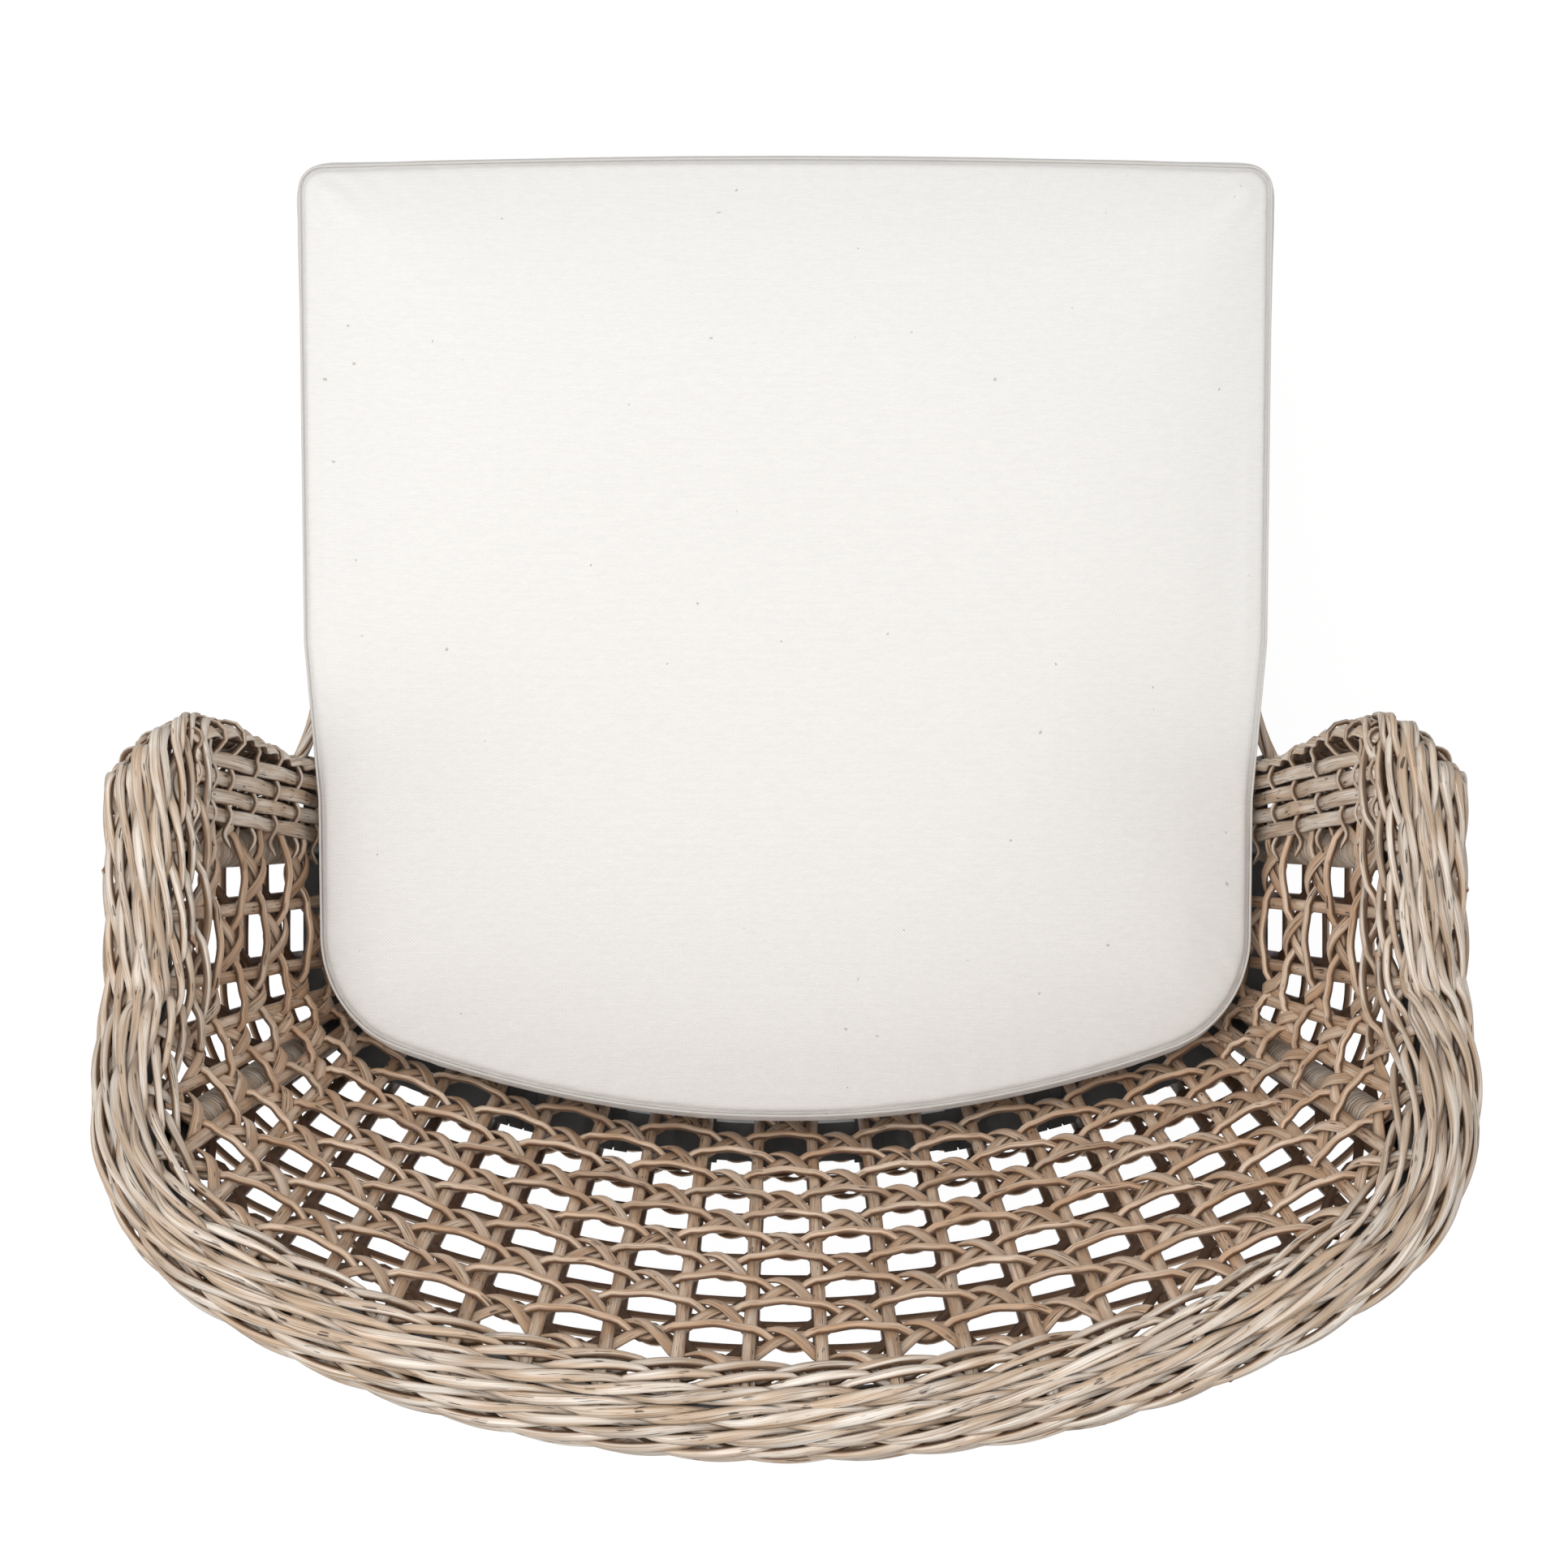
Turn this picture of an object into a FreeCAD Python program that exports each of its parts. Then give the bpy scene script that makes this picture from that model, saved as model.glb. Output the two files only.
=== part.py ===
import FreeCAD
import Part
import math
import os

import Sketcher

V = FreeCAD.Vector

# Driving sizes in millimetres, lean as rise over run, angles in degrees.
# The walls are one plan curve, drawn at planHeight, that shrinks by lean for each millimetre below it.
SIZES = {
    "planHeight": 620,
    "planHalfWidth": 397,
    "planRear": 347.5,
    "planFront": 428,
    "rearRadius": 741,
    "rearCornerRadius": 145,
    "frontCornerRadius": 155,
    "armFront": 36,
    "sideTurnRadius": 150,
    "sideTurnAngle": 26,
    "sideReturnRadius": 60,
    "frontTaperAngle": 3,
    "lean": 0.21,
    "armTop": 640,
    "backTop": 800,
    "riseStart": 130,
    "clearance": 0.3,
    "stakeDiameter": 7.4,
    "stakePitch": 39.7,
    "stakeFoot": 100,
    "cornerStakeFoot": 245,
    "stakeTopGap": 1.2,
    "outerStakeInset": 5,
    "innerStakeInset": 47,
    "rowDiameter": 7,
    "rowPitch": 37,
    "firstRow": 137,
    "waleDiameter": 9.5,
    "waleArchGap": 0.35,
    "waleArchAngle": 84,
    "waleCount": 7,
    "waleTurnRadius": 11,
    "waleDrop": 12,
    "bowDiameter": 4.6,
    "noseBackLean": 0.09,
    "frontPanelThickness": 7,
    "endStakePitch": 10.5,
    "endStakes": 3,
    "borderDiameter": 9,
    "seatBorderDiameter": 8,
    "railDiameter": 25,
    "tubeWall": 1.6,
    "seatRailHeight": 20,
    "seatRailTop": 335,
    "crossBarWidth": 25,
    "postDiameter": 19,
    "postBinding": 2.3,
    "armPostSetback": 24,
    "hoopDiameter": 8,
    "hoopHeight": 116,
    "legDiameter": 22,
    "legBinding": 2.5,
    "glideHeight": 12,
    "glideDiameter": 26,
    "glideStem": 22,
    "strapWidth": 8.5,
    "strapThickness": 1.5,
    "strapGap": 1.2,
    "strapGroup": 3,
    "strapGroups": 7,
    "strapGroupPitch": 60,
    "cushionFrontSetback": 52,
    "cushionRearGap": 20.8,
    "cushionSideGap": 3.3,
    "cushionFrontFlare": 6,
    "cushionFrontCorner": 24,
    "cushionCornerStep": 63,
    "cushionRearStep": 41,
    "cushionThickness": 112,
    "cushionCrown": 17,
    "cushionFrontBow": 5,
    "cushionSideSqueeze": 1.02,
    "cushionRearSqueeze": 14,
    "coverThickness": 1.2,
    "zipperHeight": 16,
    "zipperTape": 0.8,
    "zipperEndGap": 36.12,
    "sliderWidth": 9,
    "sliderHeight": 12,
    "sliderDepth": 4.2,
    "pullLength": 24,
    "pullWidth": 7,
    "pullThickness": 1.4,
}

doc = FreeCAD.newDocument("tub_chair")
sheet = doc.addObject("Spreadsheet::Sheet", "sizes")
for row, (alias, value) in enumerate(SIZES.items(), start=1):
    sheet.set(f"A{row}", alias)
    sheet.set(f"B{row}", str(value))
    sheet.setAlias(f"B{row}", alias)
doc.recompute()


def size(alias):
    return float(getattr(sheet, alias))


clearance = size("clearance")
stakeRadius = size("stakeDiameter") / 2
rowRadius = size("rowDiameter") / 2
waleRadius = size("waleDiameter") / 2
bowRadius = size("bowDiameter") / 2
railRadius = size("railDiameter") / 2
archRadius = railRadius + size("clearance") + size("bowDiameter") + size("waleArchGap") + waleRadius
tubeWall = size("tubeWall")
lean = size("lean")
outerInset = size("outerStakeInset")
innerInset = size("innerStakeInset")
middleInset = (outerInset + innerInset) / 2
wallGap = innerInset - outerInset
noseRadius = innerInset


# The plan curve

def insetAt(z, inset=0.0):
    """Inset from the plan curve of a line that leans with the walls."""
    return inset + lean * (size("planHeight") - z)


def planSegments():
    """Right half of the plan curve from the middle of the back to the middle of the front."""
    half = size("planHalfWidth")
    rear = size("planRear")
    rearR = size("rearRadius")
    cornerR = size("rearCornerRadius")
    rearCentre = V(0, rear - rearR, 0)
    cornerX = half - cornerR
    cornerY = rearCentre.y + math.sqrt((rearR - cornerR) ** 2 - cornerX ** 2)
    rearAngle = math.atan2(cornerX, cornerY - rearCentre.y)
    turnR = size("sideTurnRadius")
    turn = math.radians(size("sideTurnAngle"))
    turnCentre = V(half - turnR, size("armFront"), 0)
    returnR = size("sideReturnRadius")
    returnCentre = turnCentre + V(math.cos(turn), -math.sin(turn), 0) * (turnR + returnR)
    taper = math.radians(size("frontTaperAngle"))
    outward = V(math.cos(taper), -math.sin(taper), 0)
    turnEnd = returnCentre - outward * returnR
    frontR = size("frontCornerRadius")
    run = (turnEnd.y + frontR * math.sin(taper) + size("planFront") - frontR) / math.cos(taper)
    side = V(-math.sin(taper), -math.cos(taper), 0)
    frontCentre = turnEnd + side * run - outward * frontR
    quarter = math.pi / 2
    return [
        ("arc", rearCentre, rearR, quarter, quarter - rearAngle),
        ("arc", V(cornerX, cornerY, 0), cornerR, quarter - rearAngle, 0.0),
        ("line", V(half, cornerY, 0), V(half, size("armFront"), 0), 0.0),
        ("arc", turnCentre, turnR, 0.0, -turn),
        ("hollow", returnCentre, returnR, -turn, -taper),
        ("line", turnEnd, turnEnd + side * run, -taper),
        ("arc", frontCentre, frontR, -taper, -quarter),
        ("line", frontCentre - V(0, frontR, 0), V(0, frontCentre.y - frontR, 0), -quarter),
    ]


def segmentLength(segment):
    if segment[0] != "line":
        return segment[2] * abs(segment[4] - segment[3])
    return (segment[2] - segment[1]).Length


SEGMENTS = planSegments()
LENGTHS = [segmentLength(segment) for segment in SEGMENTS]
STARTS = [sum(LENGTHS[:index]) for index in range(len(LENGTHS))]
frontMiddle = sum(LENGTHS)
noseStation = STARTS[3]
backStation = STARTS[1] + LENGTHS[1] / 2


def planFrame(station):
    """Point of the plan curve and its outward normal, station measured from the middle of the back."""
    distance = min(abs(station), frontMiddle)
    index = max(i for i, start in enumerate(STARTS) if distance >= start - 1e-9)
    segment = SEGMENTS[index]
    along = distance - STARTS[index]
    if segment[0] == "arc":
        angle = segment[3] - along / segment[2]
        normal = V(math.cos(angle), math.sin(angle), 0)
        point = segment[1] + normal * segment[2]
    elif segment[0] == "hollow":
        angle = segment[3] + along / segment[2]
        normal = V(math.cos(angle), math.sin(angle), 0)
        point = segment[1] - normal * segment[2]
    else:
        normal = V(math.cos(segment[3]), math.sin(segment[3]), 0)
        point = segment[1] + (segment[2] - segment[1]) * (along / LENGTHS[index])
    if station < 0:
        point = V(-point.x, point.y, 0)
        normal = V(-normal.x, normal.y, 0)
    return point, normal


def wallPoint(station, inset, z):
    point, normal = planFrame(station)
    place = point - normal * inset
    return V(place.x, place.y, z)


def breakStations(start, end):
    """Stations between start and end where one line or arc of the plan gives way to the next."""
    marks = [0.0]
    for mark in STARTS[1:] + [frontMiddle]:
        marks += [-mark, mark]
    inside = sorted(mark for mark in marks if start + 0.01 < mark < end - 0.01 and mark != 0.0)
    return [start] + inside + [end]


def planEdges(start, end, inset, z):
    edges = []
    marks = breakStations(start, end)
    for first, last in zip(marks, marks[1:]):
        middle = wallPoint((first + last) / 2, inset, z)
        a = wallPoint(first, inset, z)
        b = wallPoint(last, inset, z)
        chord = b - a
        bend = (middle - (a + b) * 0.5).Length
        if bend < 1e-4 * max(chord.Length, 1.0):
            edges.append(Part.LineSegment(a, b).toShape())
        else:
            edges.append(Part.Arc(a, middle, b).toShape())
    return edges


def planWire(start, end, inset, z):
    return Part.Wire(planEdges(start, end, inset, z))


def closedPlanWire(inset, z):
    return planWire(-frontMiddle, frontMiddle, inset, z)


# Heights of the rim

def ease(t):
    t = min(max(t, 0.0), 1.0)
    return t * t * (3 - 2 * t)


def rimTop(station):
    y = planFrame(station)[0].y
    share = (y - size("riseStart")) / (size("planRear") - size("riseStart"))
    if abs(station) > noseStation:
        share = 0.0
    return size("armTop") + (size("backTop") - size("armTop")) * ease(share)


def railCentre(station):
    return rimTop(station) - archRadius - waleRadius


def railPoint(station):
    z = railCentre(station)
    return wallPoint(station, insetAt(z, middleInset), z)


def railFrame(station):
    """Point on the rail, its direction, and the two directions square to it."""
    step = 0.5
    tangent = (railPoint(station + step) - railPoint(station - step)).normalize()
    normal = planFrame(station)[1]
    side = (normal - tangent * normal.dot(tangent)).normalize()
    up = side.cross(tangent)
    if up.z < 0:
        up = up * -1
    return railPoint(station), tangent, side, up


def rimSlope(station):
    """Tangent of the rail's slope."""
    tangent = railFrame(station)[1]
    return abs(tangent.z) / math.hypot(tangent.x, tangent.y)


def stakeTop(station):
    slope = rimSlope(station)
    lowStrand = archRadius * math.cos(math.radians(size("waleArchAngle")))
    under = (waleRadius - lowStrand) * math.hypot(1.0, slope)
    return railCentre(station) - under - stakeRadius * (slope + lean) - size("stakeTopGap")


def reachOf(z):
    """Station at which a row at height z runs out into the rim, or the arm front if it doesn't."""
    margin = 2 * rowRadius
    if z + margin <= stakeTop(noseStation):
        return noseStation
    low, high = 0.0, noseStation
    for _ in range(40):
        middle = (low + high) / 2
        if z + margin <= stakeTop(middle):
            low = middle
        else:
            high = middle
    return low


# Solid makers

def tubeThrough(frames, radius):
    """Loft of circles, each a point with the tube's direction and one direction across it."""
    wires = []
    for point, tangent, side in frames:
        up = tangent.cross(side)
        wire = Part.Wire([Part.Circle(V(0, 0, 0), V(0, 0, 1), radius).toShape()])
        wire.Placement = FreeCAD.Placement(point, FreeCAD.Rotation(side, up, tangent, "ZXY"))
        wires.append(wire)
    return Part.makeLoft(wires, True, False)


def pipeAlong(path, radius):
    start = path.OrderedVertexes[0].Point
    first = path.OrderedEdges[0]
    near = first.Vertexes[0].Point.distanceToPoint(start) < 1e-6
    tangent = first.tangentAt(first.FirstParameter if near else first.LastParameter)
    profile = Part.Wire([Part.Circle(start, tangent, radius).toShape()])
    shell = Part.BRepOffsetAPI.MakePipeShell(path)
    shell.add(profile, False, True)
    shell.build()
    shell.makeSolid()
    return shell.shape()


def rod(foot, top, radius):
    return Part.makeCylinder(radius, (top - foot).Length, foot, top - foot)


def stake(station, inset, low, high):
    foot = wallPoint(station, insetAt(low, inset), low)
    top = wallPoint(station, insetAt(high, inset), high)
    return rod(foot, top, stakeRadius)


def noseBack(z):
    """How far the front of an arm has drawn back at height z."""
    return size("noseBackLean") * (size("planHeight") - z)


def armPoint(sign, inset, behindFront, z):
    """Point of an arm's straight side wall, measured back from the line where its front begins."""
    x = size("planHalfWidth") - insetAt(z, inset)
    return V(sign * x, size("armFront") + noseBack(z) + behindFront, z)


def wallWire(inset, z, behindFront):
    """Line round the back and both arms that stops behindFront short of where the arm fronts begin."""
    level = insetAt(z, inset)
    reach = size("armFront") - (size("armFront") + noseBack(z) + behindFront)
    end = noseStation + min(reach, 0.0)
    edges = planEdges(-end, end, level, z)
    if reach > 0:
        for sign in (-1, 1):
            corner = wallPoint(sign * noseStation, level, z)
            tip = armPoint(sign, inset, behindFront, z)
            if sign < 0:
                edges.insert(0, Part.LineSegment(tip, corner).toShape())
            else:
                edges.append(Part.LineSegment(corner, tip).toShape())
    return Part.Wire(edges)


def feature(label, shapes):
    solids = shapes if isinstance(shapes, list) else [shapes]
    item = doc.addObject("Part::Feature", label)
    item.Label = label
    item.Shape = solids[0] if len(solids) == 1 else Part.makeCompound(solids)
    item.Placement = FreeCAD.Placement()
    parts.append(item)


parts = []


# Sketched bodies

def newBody(label):
    body = doc.addObject("PartDesign::Body", label)
    body.Label = label
    parts.append(body)
    return body


def sketchOn(body, role, name):
    plane = next(item for item in body.Origin.OriginFeatures if item.Role == role)
    sketch = body.newObject("Sketcher::SketchObject", name)
    sketch.AttachmentSupport = [(plane, "")]
    sketch.MapMode = "FlatFace"
    return sketch


def addCircle(sketch, alias, expression, radius):
    index = sketch.addGeometry(Part.Circle(V(0, 0, 0), V(0, 0, 1), radius), False)
    sketch.addConstraint(Sketcher.Constraint("Coincident", index, 3, -1, 1))
    constraint = sketch.addConstraint(Sketcher.Constraint("Radius", index, radius))
    sketch.renameConstraint(constraint, alias)
    sketch.setExpression(f"Constraints.{alias}", expression)


def tubeBody(label, diameter, lengthExpression, length):
    """Round tube standing on its own XY plane."""
    body = newBody(label)
    sketch = sketchOn(body, "XY_Plane", label + "_section")
    outer = size(diameter) / 2
    addCircle(sketch, "outerRadius", f"sizes.{diameter} / 2", outer)
    addCircle(sketch, "innerRadius", f"sizes.{diameter} / 2 - sizes.tubeWall", outer - tubeWall)
    pad = body.newObject("PartDesign::Pad", label + "_length")
    pad.Profile = sketch
    pad.Length = length
    if lengthExpression:
        pad.setExpression("Length", lengthExpression)
    return body


def bindingBody(label, tube, thickness, length):
    """Wound binding around a tube, as one sleeve."""
    body = newBody(label)
    sketch = sketchOn(body, "XY_Plane", label + "_section")
    inner = size(tube) / 2 + clearance / 2
    addCircle(sketch, "innerRadius", f"sizes.{tube} / 2 + sizes.clearance / 2", inner)
    addCircle(
        sketch, "outerRadius", f"sizes.{tube} / 2 + sizes.{thickness}", size(tube) / 2 + size(thickness)
    )
    pad = body.newObject("PartDesign::Pad", label + "_length")
    pad.Profile = sketch
    pad.Length = length
    return body


# Woven walls

def stationsBetween(start, end):
    pitch = stakeStep()
    count = int(math.ceil(frontMiddle / pitch))
    places = [(index + 0.5) * pitch for index in range(count)]
    both = sorted([-place for place in places] + places)
    return [place for place in both if start < place < end]


def makeStakes():
    zones = {
        "left": (-noseStation, -backStation),
        "back": (-backStation, backStation),
        "right": (backStation, noseStation),
    }
    innerFoot = deckTop() + clearance + lean * stakeRadius
    for zone, (start, end) in zones.items():
        outer = []
        inner = []
        for station in stationsBetween(start, end):
            top = stakeTop(station)
            if abs(station) < lastOuterStation():
                outer.append(stake(station, outerInset, outerFoot(station), top))
            inner.append(stake(station, innerInset, innerFoot, top))
        if zone != "back":
            sign = -1 if zone == "left" else 1
            outer += endStakes(sign, outerInset, stakeRadius + clearance, 1)
            front = size("frontPanelThickness") - noseRadius + clearance + stakeRadius
            inner += endStakes(sign, innerInset, front, int(size("endStakes")))
        feature(f"outer_stakes_{zone}", outer)
        feature(f"inner_stakes_{zone}", inner)
    apron = []
    top = seatBorderHeight() - size("seatBorderDiameter") / 2 - clearance
    for station in stationsBetween(lastOuterStation(), frontMiddle + 1):
        for place in (-station, station):
            apron.append(stake(place, outerInset, outerFoot(place), top))
    feature("apron_stakes", apron)


def deckTop():
    return size("seatRailTop") + clearance + size("strapThickness")


def outerFoot(station):
    """Every other stake stops short in the corners, where the wall is tightest at its foot."""
    distance = abs(station)
    rear = STARTS[1] < distance < STARTS[2]
    front = STARTS[6] < distance < STARTS[7]
    index = int(distance / stakeStep())
    if (rear or front) and index % 2:
        return size("cornerStakeFoot")
    return size("stakeFoot")


def stakeStep():
    return noseStation / round(noseStation / size("stakePitch"))


def lastOuterStation():
    """The outer wall's own stakes stop where they would run into the arm front's foot."""
    foot = size("seatRailTop")
    return noseStation - noseBack(foot) - 2 * (stakeRadius + clearance)


def endStakes(sign, inset, firstBehind, count):
    """Stakes that lean back with the arm front, close together as its weave needs."""
    low = size("seatRailTop") + clearance
    high = stakeTop(noseStation) - size("noseBackLean") * stakeRadius
    stakes = []
    for index in range(count):
        behind = firstBehind + index * size("endStakePitch")
        foot = armPoint(sign, inset, behind, low)
        top = armPoint(sign, inset, behind, high)
        stakes.append(rod(foot, top, stakeRadius))
    return stakes


def seatBorderHeight():
    return size("seatRailTop") - size("seatBorderDiameter") / 2 - clearance


def rowHeights():
    heights = []
    z = size("firstRow")
    while z + 2 * rowRadius < stakeTop(0.0):
        heights.append(z)
        z += size("rowPitch")
    return heights


def makeRows():
    step = stakeRadius + clearance + rowRadius
    outer = []
    inner = []
    base = []
    for z in rowHeights():
        outerLine = insetAt(z, outerInset - step)
        if z < size("seatRailTop"):
            base.append(pipeAlong(closedPlanWire(outerLine, z), rowRadius))
            continue
        end = reachOf(z)
        if end < noseStation:
            innerLine = insetAt(z, innerInset + step)
            outer.append(pipeAlong(planWire(-end, end, outerLine, z), rowRadius))
            inner.append(pipeAlong(planWire(-end, end, innerLine, z), rowRadius))
            continue
        inside = size("frontPanelThickness") - noseRadius + clearance
        outer.append(pipeAlong(wallWire(outerInset - step, z, clearance), rowRadius))
        inner.append(pipeAlong(wallWire(innerInset + step, z, inside), rowRadius))
    feature("base_rows", base)
    feature("outer_rows", outer)
    feature("inner_rows", inner)


def makeBorders():
    radius = size("borderDiameter") / 2
    step = stakeRadius + clearance + radius
    foot = size("stakeFoot")
    side = foot + radius
    lines = [
        (insetAt(side, outerInset - step), side),
        (insetAt(side, outerInset + step), side),
        (insetAt(foot, outerInset), foot - clearance - radius),
    ]
    feature("lower_border", [pipeAlong(closedPlanWire(inset, z), radius) for inset, z in lines])
    z = seatBorderHeight()
    start = lastOuterStation()
    inset = insetAt(z, outerInset)
    strands = []
    for sign in (-1, 1):
        ends = sorted([sign * start, sign * frontMiddle])
        strands.append(pipeAlong(planWire(ends[0], ends[1], inset, z), size("seatBorderDiameter") / 2))
    feature("seat_front_border", strands)


# The rim

def rimSpans():
    """Lengths in which the rim strands and the rail are laid."""
    rear = STARTS[1]
    corner = STARTS[2]
    marks = [rear / 2, rear, (rear + corner) / 2, corner, noseStation]
    stations = [-mark for mark in reversed(marks)] + [0.0] + marks
    return list(zip(stations, stations[1:]))


def rimFrames(start, end, sideways, upward, count=7):
    frames = []
    for index in range(count):
        point, tangent, side, up = railFrame(start + (end - start) * index / (count - 1))
        frames.append((point + side * sideways + up * upward, tangent, side))
    return frames


def noseReach(sideways):
    """How far in front of the arm front line the closed front stands under a strand."""
    across = noseRadius - (middleInset - sideways)
    return math.sqrt(noseRadius ** 2 - across ** 2)


def noseStrand(sign, sideways, upward, turns):
    """Strand that runs out over the arm front, and turns down over it where turns is set."""
    start, tangent, side, up = railFrame(sign * noseStation)
    forward = V(0, -1, 0)
    start = start + side * sideways + up * upward + forward * clearance
    turn = size("waleTurnRadius")
    reach = noseReach(sideways) - 1.5
    if turns:
        reach = noseReach(sideways) + waleRadius + clearance - turn
    frames = [(start + forward * (reach * share), forward, side) for share in (0, 0.5, 1)]
    if turns:
        for step in (1, 2, 3):
            angle = step * math.pi / 6
            ahead = forward * (reach + turn * math.sin(angle))
            point = start + ahead - V(0, 0, turn * (1 - math.cos(angle)))
            direction = forward * math.cos(angle) - V(0, 0, math.sin(angle))
            frames.append((point, direction, side))
        frames.append((frames[-1][0] - V(0, 0, size("waleDrop")), V(0, 0, -1), side))
    return tubeThrough(frames, waleRadius)


def makeRim():
    count = int(size("waleCount"))
    reach = math.radians(size("waleArchAngle"))
    wale = []
    noses = {-1: [], 1: []}
    for index in range(count):
        angle = -reach + 2 * reach * index / (count - 1)
        sideways = archRadius * math.sin(angle)
        upward = archRadius * math.cos(angle)
        for start, end in rimSpans():
            wale.append(tubeThrough(rimFrames(start, end, sideways, upward), waleRadius))
        turns = abs(sideways) < archRadius / 2
        for sign in (-1, 1):
            noses[sign].append(noseStrand(sign, sideways, upward, turns))
    feature("rim_wale", wale)
    feature("rim_nose_left", noses[-1])
    feature("rim_nose_right", noses[1])


def makeRail():
    lengths = []
    for start, end in rimSpans():
        frames = rimFrames(start, end, 0, 0)
        lengths.append(tubeThrough(frames, railRadius).cut(tubeThrough(frames, railRadius - tubeWall)))
    feature("top_rail", lengths)


def makeBows():
    radius = railRadius + clearance + bowRadius
    bows = []
    for station in stationsBetween(-noseStation, noseStation):
        centre, tangent, side, up = railFrame(station)
        arc = Part.Arc(centre - side * radius, centre + up * radius, centre + side * radius)
        circle = Part.Circle(centre - side * radius, up, bowRadius)
        bows.append(Part.Wire([arc.toShape()]).makePipeShell([Part.Wire([circle.toShape()])], True, False))
    feature("rim_stake_bows", bows)


def frontPanel(sign):
    """Closed weave that carries the outer wall round the front of an arm to the inner wall."""
    thickness = size("frontPanelThickness")
    low = size("seatRailTop") + clearance
    high = railCentre(noseStation) - waleRadius
    wires = []
    for z in (low, high):
        centre = armPoint(1, noseRadius, 0.0, z)
        rim = []
        for reach in (noseRadius, noseRadius - thickness):
            points = []
            for angle in (0, -math.pi / 4, -math.pi / 2):
                spoke = V(math.cos(angle) * sign, math.sin(angle), 0) * reach
                points.append(V(centre.x * sign, centre.y, z) + spoke)
            rim.append(points)
        outer, inner = rim
        wires.append(
            Part.Wire([
                Part.Arc(outer[0], outer[1], outer[2]).toShape(),
                Part.LineSegment(outer[2], inner[2]).toShape(),
                Part.Arc(inner[2], inner[1], inner[0]).toShape(),
                Part.LineSegment(inner[0], outer[0]).toShape(),
            ])
        )
    return Part.makeLoft(wires, True, True)


# The frame

def barSolid(start, end, inset, bottom, height, width):
    """Length of rectangular tube that follows the plan curve."""
    def block(halfWidth, low, tall):
        outer = planEdges(start, end, inset - halfWidth, low)
        inner = planEdges(start, end, inset + halfWidth, low)
        a = wallPoint(start, inset - halfWidth, low)
        b = wallPoint(start, inset + halfWidth, low)
        c = wallPoint(end, inset - halfWidth, low)
        d = wallPoint(end, inset + halfWidth, low)
        caps = [Part.LineSegment(a, b).toShape(), Part.LineSegment(c, d).toShape()]
        wire = Part.Wire(Part.__sortEdges__(outer + inner + caps))
        return Part.Face(wire).extrude(V(0, 0, tall))
    shell = block(width / 2, bottom, height)
    core = block(width / 2 - tubeWall, bottom + tubeWall, height - 2 * tubeWall)
    return shell.cut(core)


def seatRailInset():
    return insetAt(size("seatRailTop") - size("seatRailHeight") / 2, middleInset)


def seatRailWidth():
    taper = lean * (size("seatRailHeight") + 2 * (clearance + size("strapThickness")))
    wrap = 2 * clearance + size("strapThickness")
    return wallGap - size("stakeDiameter") - 2 * wrap - taper


def makeSeatRails():
    bottom = size("seatRailTop") - size("seatRailHeight")
    rear = STARTS[1]
    corner = STARTS[2]
    frontCorner = STARTS[6]
    frontLine = STARTS[7]
    lengths = {
        "seat_rail_rear": [-(rear + corner) / 2, -rear, -rear / 2, 0.0, rear / 2, rear, (rear + corner) / 2],
        "seat_rail_right": [(rear + corner) / 2, corner] + STARTS[3:7] + [(frontCorner + frontLine) / 2],
        "seat_rail_front": [(frontCorner + frontLine) / 2, frontLine, frontMiddle],
    }
    inset = seatRailInset()
    width = seatRailWidth()
    for label, marks in lengths.items():
        bars = []
        for start, end in zip(marks, marks[1:]):
            bars.append(barSolid(start, end, inset, bottom, size("seatRailHeight"), width))
        if label == "seat_rail_right":
            feature("seat_rail_left", [bar.mirror(V(0, 0, 0), V(1, 0, 0)) for bar in bars])
        if label == "seat_rail_front":
            bars += [bar.mirror(V(0, 0, 0), V(1, 0, 0)) for bar in bars]
        feature(label, bars)


def crossBar(label, y):
    """Rectangular tube from side rail to side rail."""
    bottom = size("seatRailTop") - size("seatRailHeight")
    railFace = seatRailInset() + seatRailWidth() / 2
    half = size("crossBarWidth") / 2
    reach = min(sideAt(y - half, railFace), sideAt(y + half, railFace)) - clearance
    outer = doc.addObject("Part::Box", label + "_outside")
    inner = doc.addObject("Part::Box", label + "_inside")
    for box, wall in ((outer, ""), (inner, " - 2 * sizes.tubeWall")):
        box.Length = 2 * reach
        box.setExpression("Width", "sizes.crossBarWidth" + wall)
        box.setExpression("Height", "sizes.seatRailHeight" + wall)
    inner.Placement.Base = V(0, tubeWall, tubeWall)
    bar = doc.addObject("Part::Cut", label)
    bar.Base = outer
    bar.Tool = inner
    bar.Label = label
    bar.Placement.Base = V(-reach, y - size("crossBarWidth") / 2, bottom)
    parts.append(bar)


def sideAt(y, inset):
    """Half width of the plan curve, drawn in by inset, where it passes y."""
    low, high = STARTS[1], STARTS[7]
    for _ in range(50):
        middle = (low + high) / 2
        if wallPoint(middle, inset, 0).y > y:
            low = middle
        else:
            high = middle
    return wallPoint(low, inset, 0).x


def legPlaces():
    """Legs stand inside the lower border at the middle of each corner."""
    borderInset = outerInset + stakeRadius + 2 * clearance + size("borderDiameter")
    inset = insetAt(size("stakeFoot"), borderInset) + size("legDiameter") / 2
    rear = wallPoint(backStation, inset, 0)
    front = wallPoint((STARTS[6] + STARTS[7]) / 2, inset, 0)
    return {
        "rear_left": V(-rear.x, rear.y, 0),
        "rear_right": rear,
        "front_left": V(-front.x, front.y, 0),
        "front_right": front,
    }


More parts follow.
